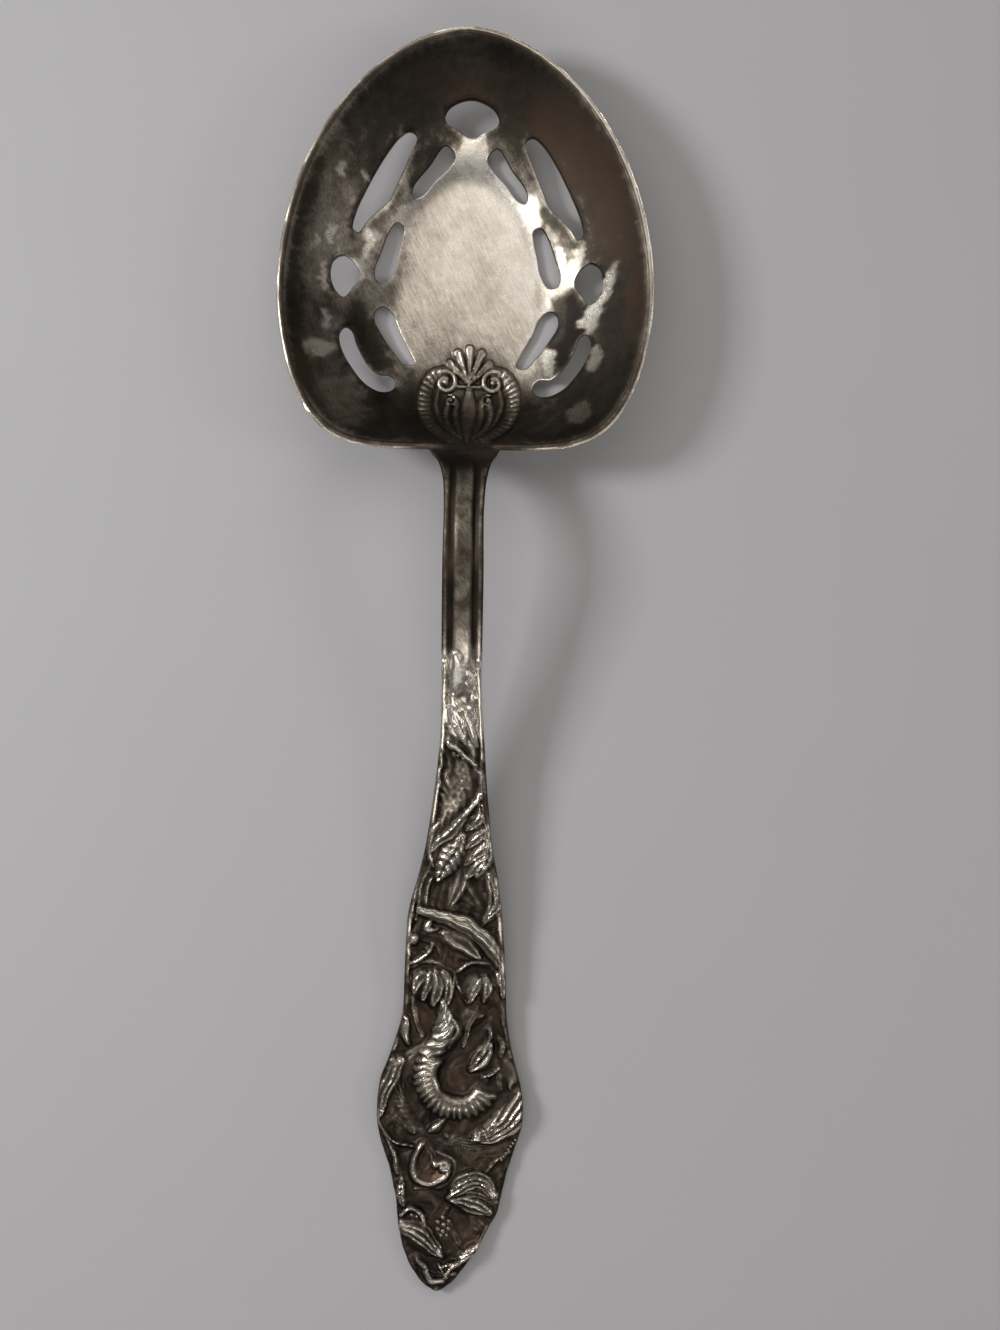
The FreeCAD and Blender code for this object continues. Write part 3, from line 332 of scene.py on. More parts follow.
def superellipse_radius(angle, half_width, length, side_power, end_power):
    """Distance out to |x / half_width| ^ a + |y / length| ^ b = 1, with angle 0 along +Y."""
    across = np.abs(np.sin(angle)) / half_width
    along = np.abs(np.cos(angle)) / length
    low = np.zeros_like(angle)
    high = np.full_like(angle, half_width) + length
    for _ in range(RIM_HALVINGS):
        middle = (low + high) / 2
        inside = (middle * across) ** side_power + (middle * along) ** end_power < 1
        low = np.where(inside, middle, low)
        high = np.where(inside, high, middle)
    return low


def smooth_line(points, spacing, closed=False):
    """Points at about even spacing on a centripetal Catmull-Rom curve through the given ones."""
    points = np.asarray(points, float)
    if closed:
        padded = np.vstack([points[-1:], points, points[:2]])
    else:
        padded = np.vstack([2 * points[0] - points[1], points, 2 * points[-1] - points[-2]])
    line = []
    for p0, p1, p2, p3 in zip(padded, padded[1:], padded[2:], padded[3:]):
        t1 = np.linalg.norm(p1 - p0) ** 0.5
        t2 = t1 + np.linalg.norm(p2 - p1) ** 0.5
        t3 = t2 + np.linalg.norm(p3 - p2) ** 0.5
        t = np.linspace(t1, t2, CURVE_SAMPLES, endpoint=False)[:, None]
        a1 = p0 + (p1 - p0) * t / t1
        a2 = p1 + (p2 - p1) * (t - t1) / (t2 - t1)
        a3 = p2 + (p3 - p2) * (t - t2) / (t3 - t2)
        b1 = a1 + (a2 - a1) * t / t2
        b2 = a2 + (a3 - a2) * (t - t1) / (t3 - t1)
        line.append(b1 + (b2 - b1) * (t - t1) / (t2 - t1))
    line.append(points[:1] if closed else points[-1:])
    line = np.vstack(line)
    length = np.concatenate([[0], np.cumsum(np.linalg.norm(np.diff(line, axis=0), axis=1))])
    count = max(4, int(round(length[-1] / spacing)))
    at = np.linspace(0, length[-1], count, endpoint=not closed)
    return np.column_stack([np.interp(at, length, line[:, axis]) for axis in range(line.shape[1])])


def smooth_lookup(table, column, at):
    """Smooth values of a table's column, held level past both ends."""
    stations = np.array([row[0] for row in table])
    values = np.array([row[column] for row in table])
    slopes = np.gradient(values, stations)
    slopes[[0, -1]] = 0.0
    at = np.clip(at, stations[0], stations[-1])
    row = np.clip(np.searchsorted(stations, at) - 1, 0, len(stations) - 2)
    span = stations[row + 1] - stations[row]
    t = (at - stations[row]) / span
    rise = values[row + 1] - values[row]
    bend = (slopes[row] + slopes[row + 1]) * span - 2 * rise
    return values[row] + t * (slopes[row] * span + t * (rise - slopes[row] * span - (1 - t) * bend))


def smoothstep(value, low, high):
    t = np.clip((value - low) / (high - low), 0.0, 1.0)
    return t * t * (3 - 2 * t)


def waves(x, y, scale, seed):
    """Gentle uneven waves of about that size, between -1 and 1: a fixed sum of sines."""
    turns = np.random.default_rng(seed)
    total = np.zeros_like(x)
    for _ in range(7):
        direction = turns.uniform(0, 2 * math.pi)
        pitch = 2 * math.pi / (scale * turns.uniform(0.7, 1.6))
        phase = turns.uniform(0, 2 * math.pi)
        total += np.sin(pitch * (x * math.cos(direction) + y * math.sin(direction)) + phase)
    return total / 7


def inside_outline(outline, x, y):
    """Which points lie inside a closed outline."""
    inside = np.zeros(x.shape, bool)
    for (x0, y0), (x1, y1) in zip(np.roll(outline, 1, axis=0), outline):
        if y0 != y1:
            crosses = (y0 > y) != (y1 > y)
            inside ^= crosses & (x < (x1 - x0) * (y - y0) / (y1 - y0) + x0)
    return inside


class Relief:
    """Carved forms, as shares of the relief's height over places in the plan."""

    def __init__(self, x, y):
        self.x = x
        self.y = y
        self.height = np.zeros_like(x)

    def raise_to(self, where, height):
        """Forms that meet run softly into each other."""
        height = np.maximum(height, 0)
        self.height[where] = (np.maximum(self.height[where], 0) ** BLEND + height ** BLEND) ** (1 / BLEND)

    def ball(self, x, y, radius, height):
        """A round bud, or a round hollow where its height is below nothing."""
        distance = np.hypot(self.x - x, self.y - y) / radius
        near = distance < 1
        dome = height * np.sqrt(1 - distance[near] ** 2)
        if height > 0:
            self.raise_to(near, dome)
        else:
            self.height[near] += dome

    def ring(self, centre, throat, radius, start, end, ribs):
        """An open trumpet flower: a tube bent round its throat, with deep ribs across it."""
        dx = self.x - centre[0]
        dy = self.y - centre[1]
        turn = (np.degrees(np.arctan2(dy, dx)) % 360 - start) / (end - start)
        out = np.hypot(dx, dy)
        slant = 1.6 * np.clip((out - throat) / (radius - throat), 0, 1) * (1 - smoothstep(turn, 0.2, 0.7))
        scallop = 0.5 + 0.5 * np.cos(2 * math.pi * (ribs * turn - slant + 0.25 * waves(dx, dy, 5.0, seed=33)))
        share = (out - throat) / (radius * (0.96 + 0.04 * scallop) - throat)
        near = (share > 0) & (share < 1) & (turn > 0) & (turn < 1)
        share = share[near]
        ends = np.minimum(1.0, np.minimum(9 * turn[near], 9 * (1 - turn[near])))
        deep = 0.08 + 0.05 * waves(dx[near], dy[near], 4.0, seed=34)
        ribbed = 1 - deep * smoothstep(share, 0.05, 0.5) * (1 - scallop[near]) ** 1.2
        self.raise_to(near, np.sin(math.pi * share ** 0.8) ** 0.6 * ribbed * ends * 1.15)

    def volute(self, centre, radius, eye, start, sweep, half_width, height):
        """A scroll: a ridge that winds in from its outer radius to a round eye."""
        dx = self.x - centre[0]
        dy = self.y - centre[1]
        distance = np.hypot(dx, dy)
        near = distance < radius + half_width
        dx, dy, distance = dx[near], dy[near], distance[near]
        first = (np.degrees(np.arctan2(dy, dx)) - start) % 360
        best = np.where(distance < eye, np.sqrt(np.clip(1 - (distance / eye) ** 2, 0, 1)), 0.0)
        for lap in range(int(sweep // 360) + 1):
            turn = first + 360 * lap
            ridge = radius + (eye - radius) * turn / sweep
            share = np.abs(distance - ridge) / half_width
            round_ridge = np.sqrt(np.clip(1 - share ** 2, 0, 1))
            best = np.maximum(best, np.where((turn <= sweep) & (share < 1), round_ridge, 0))
        self.raise_to(near, height * best)

    def ribbon(self, path, widths, height, kind, count):
        """A rounded band along a curved path, worked into flutes, veins, ribs or bark."""
        line = smooth_line(path, 0.12)
        reach = max(widths)
        low = line.min(axis=0) - reach
        high = line.max(axis=0) + reach
        near = np.flatnonzero((self.x > low[0]) & (self.x < high[0]) & (self.y > low[1]) & (self.y < high[1]))
        x = self.x[near]
        y = self.y[near]
        gaps = (x[:, None] - line[:, 0]) ** 2 + (y[:, None] - line[:, 1]) ** 2
        closest = gaps.argmin(axis=1)
        t = closest / (len(line) - 1)
        ahead = line[np.minimum(closest + 1, len(line) - 1)] - line[np.maximum(closest - 1, 0)]
        side = np.sign(ahead[:, 0] * (y - line[closest, 1]) - ahead[:, 1] * (x - line[closest, 0]))
        width = widths[0] * (1 - t) * (1 - 2 * t) + 4 * widths[1] * t * (1 - t) + widths[2] * t * (2 * t - 1)
        u = side * np.sqrt(gaps.min(axis=1)) / np.maximum(width, 0.15)
        dome = np.clip(1 - u ** 2, 0, 1) ** 0.85 * (1 + 0.22 * u)
        if kind == "flutes":
            fade = 0.07 + 0.07 * np.sin(math.pi * t)
            worked = 1 - fade + fade * np.cos(math.pi * (count + 0.5) * u * (1 + 0.25 * t) + 0.8)
        elif kind == "veins":
            slant = np.abs(np.cos(math.pi * (count * t - 0.9 * np.abs(u))))
            worked = (1 - 0.25 * np.exp(-(u / 0.13) ** 2)) * (0.84 + 0.16 * slant)
        elif kind == "twist":
            worked = 0.86 + 0.14 * np.abs(np.cos(math.pi * (count * t + 1.1 * u + 0.4 * u ** 2)))
        elif kind == "ribs":
            worked = 0.62 + 0.38 * np.abs(np.cos(math.pi * (count * t + 0.35 * u))) ** 0.8
        elif kind == "groove":
            worked = 0.62 + 0.38 * np.minimum(1, (np.abs(u) / 0.45) ** 1.5)
        elif kind == "pod":
            rim = np.exp(-((np.abs(u) - 0.78) / 0.10) ** 2)
            worked = 0.80 + 0.14 * rim + 0.16 * waves(x, y, 1.3, seed=31)
        elif kind == "bark":
            worked = 0.94 + 0.06 * np.cos(math.pi * count * u + 1.5 * waves(x, y, 3.0, seed=32))
        else:
            worked = 1.0
        swell = 0.80 + 0.20 * np.sin(math.pi * np.clip(t, 0, 1)) + 0.06 * waves(x, y, 2.2, seed=35)
        self.raise_to(near, height * worked * swell * np.where(np.abs(u) < 1, dome, 0))


class SpoonForm:
    """Outlines and heights of the spoon, in millimetres, from the sizes in the panel."""

    def __init__(self, sizes):
        for name in sizes.bl_rna.properties.keys():
            if name not in ("rna_type", "name"):
                setattr(self, name, getattr(sizes, name) / MM)
        self.length = SPOON_LENGTH / MM
        self.widest_y = self.length / 2 - self.widest_from_tip
        self.towards_neck = self.bowl_length - self.widest_from_tip
        self.rim_foot = self.widest_y - self.towards_neck + self.rim_thickness
        self.wall_top = self.bowl_height - self.rim_crown

        # Side profile: millimetres from the handle's tip, height of the top and thickness
        thin = self.handle_thickness
        thick = self.neck_thickness
        rim = self.length - self.bowl_length
        rise = self.neck_rise
        self.profile = (
            (-4.0, thin + 0.5, thin), (12.0, thin + 0.03, thin), (30.0, thin + 0.3, thin),
            (55.0, thin + 1.8, thin + 0.1), (80.0, thin + 5.6, thin + 0.6),
            (105.0, thin + 0.5 * rise, thick - 0.4), (rim - 30.0, rise - 2.6, thick),
            (rim - 13.0, rise, thick),
            (rim - 5.0, self.bowl_height + 0.6 * (rise - self.bowl_height), thick - 0.4),
            (rim - 0.8, self.bowl_height + 0.6, 2.8), (rim + 1.5, self.bowl_height - 0.4, 2.3),
        )

    def rim_radius(self, angle, inset):
        tip_half = np.cos(angle) > 0
        half_width = BOWL_WIDTH / MM / 2 - inset
        length = np.where(tip_half, self.widest_from_tip - inset, self.towards_neck - inset)
        side = np.where(tip_half, TIP_POWERS[0], NECK_POWERS[0])
        end = np.where(tip_half, TIP_POWERS[1], NECK_POWERS[1])
        return superellipse_radius(angle, half_width, length, side, end)

    def base_radius(self, angle):
        length = np.where(np.cos(angle) > 0, self.base_towards_tip, self.base_towards_neck)
        return superellipse_radius(angle, self.base_width / 2, length, 2.0, 2.0)

    def plan_point(self, radius, angle):
        return np.column_stack([radius * np.sin(angle), self.widest_y + radius * np.cos(angle)])

    def wall_point(self, share, angle):
        base = self.base_radius(angle)
        return self.plan_point(base + share * (self.rim_radius(angle, self.rim_thickness) - base), angle)

    def polar(self, x, y):
        return np.hypot(x, y - self.widest_y), np.arctan2(x, y - self.widest_y)

    def wall_height(self, share):
        return self.sheet + (self.wall_top - self.sheet) * np.clip(share, 0.0, 1.0) ** WALL_POWER

    def inner_wall_height(self, share):
        """The wall as seen from inside, where it leaves the floor more gently."""
        share = np.clip(share, 0.0, 1.0)
        climb = share ** 2 * np.sqrt((1 + WALL_START) / (share + WALL_START))
        return self.sheet + (self.wall_top - self.sheet) * climb

    def bowl_top(self, x, y):
        """The inside of the bowl and the crown of its rim."""
        radius, angle = self.polar(x, y)
        base = self.base_radius(angle)
        inner = self.rim_radius(angle, self.rim_thickness)
        outer = self.rim_radius(angle, 0.0)
        height = self.inner_wall_height((radius - base) / (inner - base))
        across = np.clip((radius - inner) / (outer - inner), 0.0, 1.0)
        crown = self.wall_top + self.rim_crown * (1 - np.abs(2 * across - 1) ** 2.6)
        return np.where(radius > inner, crown, height), radius <= outer + 1e-6

    def bowl_under(self, x, y):
        """The outside of the bowl: each point is a sheet's thickness out from the inner wall."""
        radius, angle = self.polar(x, y)
        base = self.base_radius(angle)
        run = self.rim_radius(angle, self.rim_thickness) - base
        outer = self.rim_radius(angle, 0.0)
        climb = WALL_POWER * (self.wall_top - self.sheet)

        def out_from(share):
            slope = np.arctan(climb * np.sqrt(share) / run)
            reach = base + share * run + self.sheet * np.sin(slope)
            full = base + run + self.sheet * np.sin(np.arctan(climb / run))
            return reach + (outer - full) * share ** 6, slope

        low = np.zeros_like(radius)
        high = np.ones_like(radius)
        for _ in range(UNDERSIDE_HALVINGS):
            middle = (low + high) / 2
            inside = out_from(middle)[0] < radius
            low = np.where(inside, middle, low)
            high = np.where(inside, high, middle)
        slope = out_from(low)[1]
        return np.maximum(0.0, self.wall_height(low) - self.sheet * np.cos(slope) * (1 - low ** 6))

    def handle_outline(self):
        """The handle's edges from the right of the rim down round the tip and back up the left."""
        foot = -self.length / 2
        right = [(out, foot + station) for station, _, out in HANDLE_EDGES]
        left = [(-out, foot + station) for station, out, _ in HANDLE_EDGES]
        return smooth_line(right[::-1] + [(-TIP_OFFSET, foot)] + left, self.edge_step)

    def outline(self):
        """The closed plan outline: handle edges, cut at the rim, and the rim itself."""
        handle = self.handle_outline()
        radius, angle = self.polar(handle[:, 0], handle[:, 1])
        handle = handle[radius > self.rim_radius(angle, 0.0) + 0.15]
        start = math.atan2(handle[-1][0], handle[-1][1] - self.widest_y)
        end = math.atan2(handle[0][0], handle[0][1] - self.widest_y)
        if end < start:
            end += 2 * math.pi
        angles = np.linspace(start, end, OUTLINE_SAMPLES)
        rim = self.plan_point(self.rim_radius(angles, 0.0), angles)
        travel = np.concatenate([[0], np.cumsum(np.linalg.norm(np.diff(rim, axis=0), axis=1))])
        at = np.linspace(0, travel[-1], int(travel[-1] / (1.6 * self.edge_step)))
        rim = np.column_stack([np.interp(at, travel, rim[:, axis]) for axis in (0, 1)])
        return np.vstack([handle, rim[1:-1]])

    def piercings(self):
        """Closed outlines of the tip piercing and of the side ones, right and left."""
        outlines = [(TIP_PIERCING, 1)]
        for points in SIDE_PIERCINGS.values():
            outlines += [(points, 1), (points, -1)]
        loops = []
        for points, side in outlines:
            share, angle = np.array(points, float).T
            corners = self.wall_point(share, np.radians(side * angle + PIERCING_TWIST))
            loops.append(smooth_line(corners, self.edge_step, closed=True))
        return loops

    def carving(self, x, station):
        """Height of the handle's carving, its drawing bent a little so that no line is too even."""
        across = 0.30 * waves(x, station, 3.5, seed=51) + 0.07 * waves(x, station, 1.3, seed=52)
        along = 0.30 * waves(x, station, 3.5, seed=53) + 0.07 * waves(x, station, 1.3, seed=54)
        relief = Relief(x + across, station + along)
        for row in RIBBONS:
            relief.ribbon(*row)
        relief.ring(**FLOWER)
        for row in BALLS:
            relief.ball(*row)
        return relief.height

    def heel_carving(self, x, y):
        """The ornament on the heel, drawn on the right and mirrored."""
        relief = Relief(np.abs(x - HEEL_AXIS), y - self.rim_foot)
        for angle, length in FAN_FLUTES:
            turn = math.radians(angle)
            tip = (length * math.sin(turn), FAN_ROOT + length * math.cos(turn))
            half = (0.5 * tip[0], 0.5 * (FAN_ROOT + tip[1]))
            relief.ribbon(((0.0, FAN_ROOT), half, tip), (0.3, 0.62, 1.0), 0.9, "groove", 1)
        for row in HEEL_RIBBONS:
            relief.ribbon(*row)
        for volute_x, volute_y, radius, height in HEEL_VOLUTES:
            relief.volute((volute_x, volute_y), radius, radius * 0.3, 60.0, 430.0, radius * 0.26, height)
        return relief.height

    def neck_panel(self, x, station):
        """The crowned panel of the neck and the groove on each side of it."""
        left = smooth_lookup(HANDLE_EDGES, 1, station)
        right = smooth_lookup(HANDLE_EDGES, 2, station)
        distance = np.abs(x - (right - left) / 2) - self.panel_width / 2
        groove = -self.groove_depth * np.exp(-(distance / self.groove_width) ** 2)
        crown = 0.25 * np.clip(1 - (distance / (self.panel_width / 2) + 1) ** 2, 0, 1)
        return groove + crown

    def border(self, gap, station):
        """The raised strip along both edges of the carving, and the seam beside it."""
        along = smoothstep(station, 46.0, 56.0) * (1 - smoothstep(station, 113.0, 119.0))
        along *= np.clip(0.72 + 0.9 * waves(gap, station, 7.0, seed=19), 0.15, 1.0)
        strip = 1 - smoothstep(gap, 0.72 * self.border_width, self.border_width)
        seam = np.exp(-((gap - 1.2 * self.border_width) / 0.25) ** 2)
        return along * strip, along * seam

    def handle_top(self, x, y):
        """The handle's upper side and how far each point is up the carving."""
        station = y + self.length / 2
        level = smooth_lookup(self.profile, 1, station)
        carved = 1 - smoothstep(station, self.relief_length - 2, self.relief_length + 2)
        relief = self.carving(x, station)
        open_ground = 1 - smoothstep(relief, 0.1, 0.5)
        bend = 1.6 * waves(x, station, 9.0, seed=5)
        folds = np.abs(np.sin(math.pi * (0.55 * x + 0.16 * station + bend)))
        narrow = smoothstep(station, 58.0, 66.0)
        broad_folds = np.abs(np.sin(math.pi * (0.22 * x - 0.16 * station + 0.5 * bend)))
        ground = narrow * (0.45 * folds - 0.1) + (1 - narrow) * (0.32 * broad_folds - 0.15)
        ground += 0.34 * waves(x, station, 5.0, seed=6) + 0.16 * waves(x, station, 1.5, seed=4)
        ending = smoothstep(station, self.relief_length - 4, self.relief_length)
        near_rim = smoothstep(self.length - self.bowl_length - station, -1.0, 5.0)
        plain = ending * near_rim * self.neck_panel(x, station)
        sunk = carved * (ground * open_ground - self.ground_depth)
        return level + sunk + self.relief_height * relief + plain, relief

    def handle_under(self, y):
        station = y + self.length / 2
        return smooth_lookup(self.profile, 1, station) - smooth_lookup(self.profile, 2, station)


class Plate:
    """The spoon as one closed mesh: an upper and a lower sheet of triangles over the same plan."""

    def __init__(self, form):
        self.form = form
        outline = form.outline()
        turn = np.roll(outline, -1, axis=0)
        area = (outline[:, 0] * turn[:, 1] - turn[:, 0] * outline[:, 1]).sum()
        self.loops = [outline if area > 0 else outline[::-1]]
        for hole in form.piercings():
            turn = np.roll(hole, -1, axis=0)
            area = (hole[:, 0] * turn[:, 1] - turn[:, 0] * hole[:, 1]).sum()
            self.loops.append(hole if area > 0 else hole[::-1])
        self.edge = np.vstack(self.loops)
        starts = np.cumsum([0] + [len(loop) for loop in self.loops])
        self.edge_pairs = []
        self.before = np.arange(len(self.edge)) - 1
        self.after = np.arange(len(self.edge)) + 1
        self.loop_of = np.zeros(len(self.edge), int)
        for number, (first, last) in enumerate(zip(starts, starts[1:])):
            self.before[first] = last - 1
            self.after[last - 1] = first
            self.loop_of[first:last] = number
            self.edge_pairs += [(at, self.after[at]) for at in range(first, last)]
        self.tree = kdtree.KDTree(len(self.edge))
        for number, (x, y) in enumerate(self.edge):
            self.tree.insert((x, y, 0.0), number)
        self.tree.balance()

    def gap(self, points):
        """Distance from each point to the nearest edge, and whether that is a piercing's."""
        closest = np.array([self.tree.find((x, y, 0.0))[1] for x, y in points], int)
        best = np.full(len(points), 1e9)
        for other in (self.before, self.after):
            start = self.edge[closest]
            run = self.edge[other[closest]] - start
            share = ((points - start) * run).sum(axis=1) / (run ** 2).sum(axis=1)
            foot = start + np.clip(share, 0, 1)[:, None] * run
            best = np.minimum(best, np.linalg.norm(points - foot, axis=1))
        return best, self.loop_of[closest] > 0

    def edge_rows(self, steps):
        """Rows of points just inside every edge, so that it can be rounded."""
        rows = []
        run = self.edge[self.after] - self.edge[self.before]
        inward = np.column_stack([-run[:, 1], run[:, 0]]) / np.linalg.norm(run, axis=1)[:, None]
        inward[self.loop_of > 0] *= -1
        radius, angle = self.form.polar(self.edge[:, 0], self.edge[:, 1])
        on_rim = (self.loop_of == 0) & (np.abs(radius - self.form.rim_radius(angle, 0.0)) < 0.02)
        for step in steps:
            row = (self.edge + step * inward)[~on_rim]
            rows.append(row[self.gap(row)[0] > 0.85 * step])
        return np.vstack(rows)

    def rim_rows(self, insets, spacing):
        """Rows of points that run round the rim, in from its outer edge."""
        rows = []
        for inset in insets:
            turns = np.linspace(-math.pi, math.pi, RIM_SAMPLES)
            line = self.form.plan_point(self.form.rim_radius(turns, inset), turns)
            travel = np.concatenate([[0], np.cumsum(np.linalg.norm(np.diff(line, axis=0), axis=1))])
            at = np.linspace(0, travel[-1], int(travel[-1] / spacing), endpoint=False)
            rows.append(np.column_stack([np.interp(at, travel, line[:, axis]) for axis in (0, 1)]))
        rows = np.vstack(rows)
        return rows[self.gap(rows)[0] > 0.09]

    def grid(self, across, up, spacing):
        """A honeycomb of points over a rectangle."""
        columns = np.arange(*across, spacing)
        rows = np.arange(*up, spacing * math.sqrt(3) / 2)
        x, y = np.meshgrid(columns, rows)
        x[1::2] += spacing / 2
        return np.column_stack([x.ravel(), y.ravel()])

    def field(self, steps):
        """Points inside the plan, finer where there is carving."""
        form = self.form
        carved, heel, neck, bowl = steps
        half = form.length / 2
        start = form.relief_length - half
        rim = form.widest_y - form.towards_neck
        zones = (
            (self.grid(HANDLE_SPAN, (-half, start + 2), carved), carved, lambda x, y: y < start),
            (self.grid(HANDLE_SPAN, (start, rim), neck), neck, lambda x, y: y >= start),
            (self.grid(HEEL_SPAN, (rim, rim + HEEL_FIELD_RISE), heel), heel, self.on_heel),
            (self.grid(BOWL_SPAN, (rim, half), bowl), bowl, lambda x, y: ~self.on_heel(x, y)),
        )
        fields = []
        for number, (points, spacing, wanted) in enumerate(zones):
            x, y = points.T
            radius, angle = form.polar(x, y)
            if number < 2:
                keep = radius > form.rim_radius(angle, 0.0) + 0.3
            else:
                keep = radius < form.rim_radius(angle, form.rim_thickness) - 0.45
            points = points[keep & wanted(x, y)]
            points = points[inside_outline(self.loops[0], *points.T)]
            points = points[self.gap(points)[0] > 0.3 + 0.3 * spacing]
            for hole in self.loops[1:]:
                low = hole.min(axis=0)
                high = hole.max(axis=0)
                near = np.flatnonzero(((points > low) & (points < high)).all(axis=1))
                drop = near[inside_outline(hole, *points[near].T)]
                points = np.delete(points, drop, axis=0)
            fields.append(points)
        return np.vstack(fields)

    def on_heel(self, x, y):
        up = y - self.form.rim_foot
        return (up < HEEL_RISE) & (np.abs(x - HEEL_AXIS) < HEEL_HALF_WIDTH)

    def triangles(self, inner):
        """The points with the edge's first, and the triangles between the edges."""
        points = np.vstack([self.edge, inner])
        made = delaunay_2d_cdt([Vector(point) for point in points], self.edge_pairs, [], 0, 1e-5)
        first = np.array([min(source) if source else -1 for source in made[3]], int)
        faces = first[np.array(made[2], int)]
        faces = faces[(faces >= 0).all(axis=1)]
        centre = points[faces].mean(axis=1)
        keep = inside_outline(self.loops[0], *centre.T)
        for hole in self.loops[1:]:
            near = ((centre > hole.min(axis=0)) & (centre < hole.max(axis=0))).all(axis=1)
            near = np.flatnonzero(near)
            keep[near[inside_outline(hole, *centre[near].T)]] = False
        return points, faces[keep]

    def heights(self, points, upper):
        """Height of one side over the points, with its edges rounded."""
        form = self.form
        x, y = points.T
        gap, at_hole = self.gap(points)
        bowl, in_bowl = form.bowl_top(x, y) if upper else (form.bowl_under(x, y), form.bowl_top(x, y)[1])
        radius, angle = form.polar(x, y)
        beyond = radius > form.rim_radius(angle, 0.0) + 1e-6
        handle_line = form.handle_outline()
        on_handle = inside_outline(handle_line, x, y) | beyond
        round_by = np.where(at_hole, form.hole_round, form.edge_round)
        t = np.clip(gap / round_by, 0.0, 1.0)
        drop = round_by * (1 - np.sqrt(1 - (1 - t) ** 2))
        if upper:
            handle, relief = form.handle_top(x, y)
            station = y + form.length / 2
            border, seam = form.border(gap, station)
            level = smooth_lookup(form.profile, 1, station)
            handle = handle * (1 - border) + border * (level + BORDER_RISE * form.relief_height)
            handle -= SEAM_DEPTH * seam
            heel = form.heel_carving(x, y) * (radius < form.rim_radius(angle, form.rim_thickness))
            bowl = bowl + form.heel_relief_height * heel
            height = np.where(in_bowl & ~on_handle, bowl, handle)
            height = np.where(in_bowl & on_handle, np.maximum(bowl, handle), height)
            on_edge = beyond | at_hole
            return np.where(on_edge, height - drop, height), relief, heel, gap
        handle = form.handle_under(y)
        height = np.where(in_bowl & ~on_handle, bowl, handle)
        height = np.where(in_bowl & on_handle, np.minimum(bowl, handle), height)
        return np.where(beyond | at_hole, height + drop, height)

    def settled(self, values, faces, rounds):
        """Values averaged over the mesh again and again, to tell ridges from hollows."""
        pairs = np.vstack([faces[:, [0, 1]], faces[:, [1, 2]], faces[:, [2, 0]]])
        count = np.bincount(pairs.ravel(), minlength=len(values))
        for _ in range(rounds):
            total = np.bincount(pairs[:, 0], values[pairs[:, 1]], len(values))
            total += np.bincount(pairs[:, 1], values[pairs[:, 0]], len(values))
            values = 0.5 * values + 0.5 * total / np.maximum(count, 1)
        return values


def soft_spots(x, y, spots):
    """Soft-edged ellipses: centre, half sizes, turn in degrees and strength."""
    total = np.zeros_like(x)
    x = x + 1.1 * waves(x, y, 3.2, seed=41) + 0.5 * waves(x, y, 1.1, seed=42)
    y = y + 1.1 * waves(x, y, 3.2, seed=43) + 0.5 * waves(x, y, 1.1, seed=44)
    for centre_x, centre_y, half_x, half_y, turn, strength in spots:
        turn = math.radians(turn)
        dx = (x - centre_x) * math.cos(turn) + (y - centre_y) * math.sin(turn)
        dy = -(x - centre_x) * math.sin(turn) + (y - centre_y) * math.cos(turn)
        distance = np.hypot(dx / half_x, dy / half_y)
        total = np.maximum(total, strength * (1 - smoothstep(distance, 0.55, 1.15)))
    return total


# Tarnish is a share, from 0 for bare bright silver to 1 for black; on the bowl and the handle it also holds
# painted highlights and painted shade. The tables below are in millimetres across from the axis and along the
# spoon, with its middle at nothing.

# Places along the spoon and half width of the bowl's worn, bare floor there, in millimetres
WORN_FLOOR = (
    (44.0, 8.0), (55.0, 12.0), (72.0, 12.9), (82.0, 12.4), (88.0, 10.2), (92.0, 6.0), (95.0, 3.0),
    (98.0, 2.2), (101.0, 1.6),
)

# Spots are soft ellipses: centre, half sizes, turn in degrees and strength. Here the bowl's dark walls are
# painted brighter. Mostly this is where the tarnish is worn off, but the spots on the left and right webs
# between the piercings, at the floor's upper right and between the floor and the tip piercing are painted
# highlights.
BARE_SPOTS_AND_PAINTED_HIGHLIGHTS = (
    (24.6, 68.5, 1.5, 7.2, -25.0, 0.62), (22.6, 64.8, 1.7, 3.2, -10.0, 0.55),
    (15.5, 57.6, 1.4, 3.0, 10.0, 0.60), (23.4, 57.5, 1.6, 3.0, -8.0, 0.45),
    (20.8, 47.2, 2.2, 3.2, -20.0, 0.25), (-26.1, 58.3, 2.8, 1.6, 10.0, 0.50),
    (-18.1, 78.7, 1.3, 3.4, -15.0, 0.32), (-20.0, 74.0, 1.4, 2.4, 0.0, 0.25),
    (17.3, 76.0, 0.9, 3.0, 8.0, 0.34), (20.2, 76.6, 1.0, 2.4, -15.0, 0.32),
    (18.9, 72.8, 1.2, 2.4, 0.0, 0.20), (8.7, 84.5, 3.2, 4.0, 20.0, 0.12),
    (-0.1, 95.1, 3.4, 4.0, 0.0, 0.16), (-11.5, 84.0, 2.0, 4.0, -30.0, 0.25),
    (-25.9, 71.7, 0.7, 2.6, 0.0, 0.45), (-25.5, 63.7, 0.7, 2.2, 8.0, 0.45),
    (-24.8, 79.0, 0.6, 1.8, 0.0, 0.35), (-27.0, 77.0, 0.5, 1.6, -10.0, 0.30),
    (-22.5, 90.0, 0.7, 1.4, 0.0, 0.25), (-18.5, 90.0, 0.6, 1.4, 20.0, 0.22),
    (-12.0, 97.0, 1.2, 1.6, 40.0, 0.22), (12.8, 62.0, 1.4, 2.6, 20.0, 0.25),
)

# Where the bowl's tarnish is thinner
THIN_TARNISH = (
    (-25.0, 68.0, 4.5, 26.0, -4.0, 0.13), (-22.0, 48.0, 7.0, 7.0, 0.0, 0.20),
    (14.0, 46.0, 7.0, 4.0, 0.0, 0.12),
)

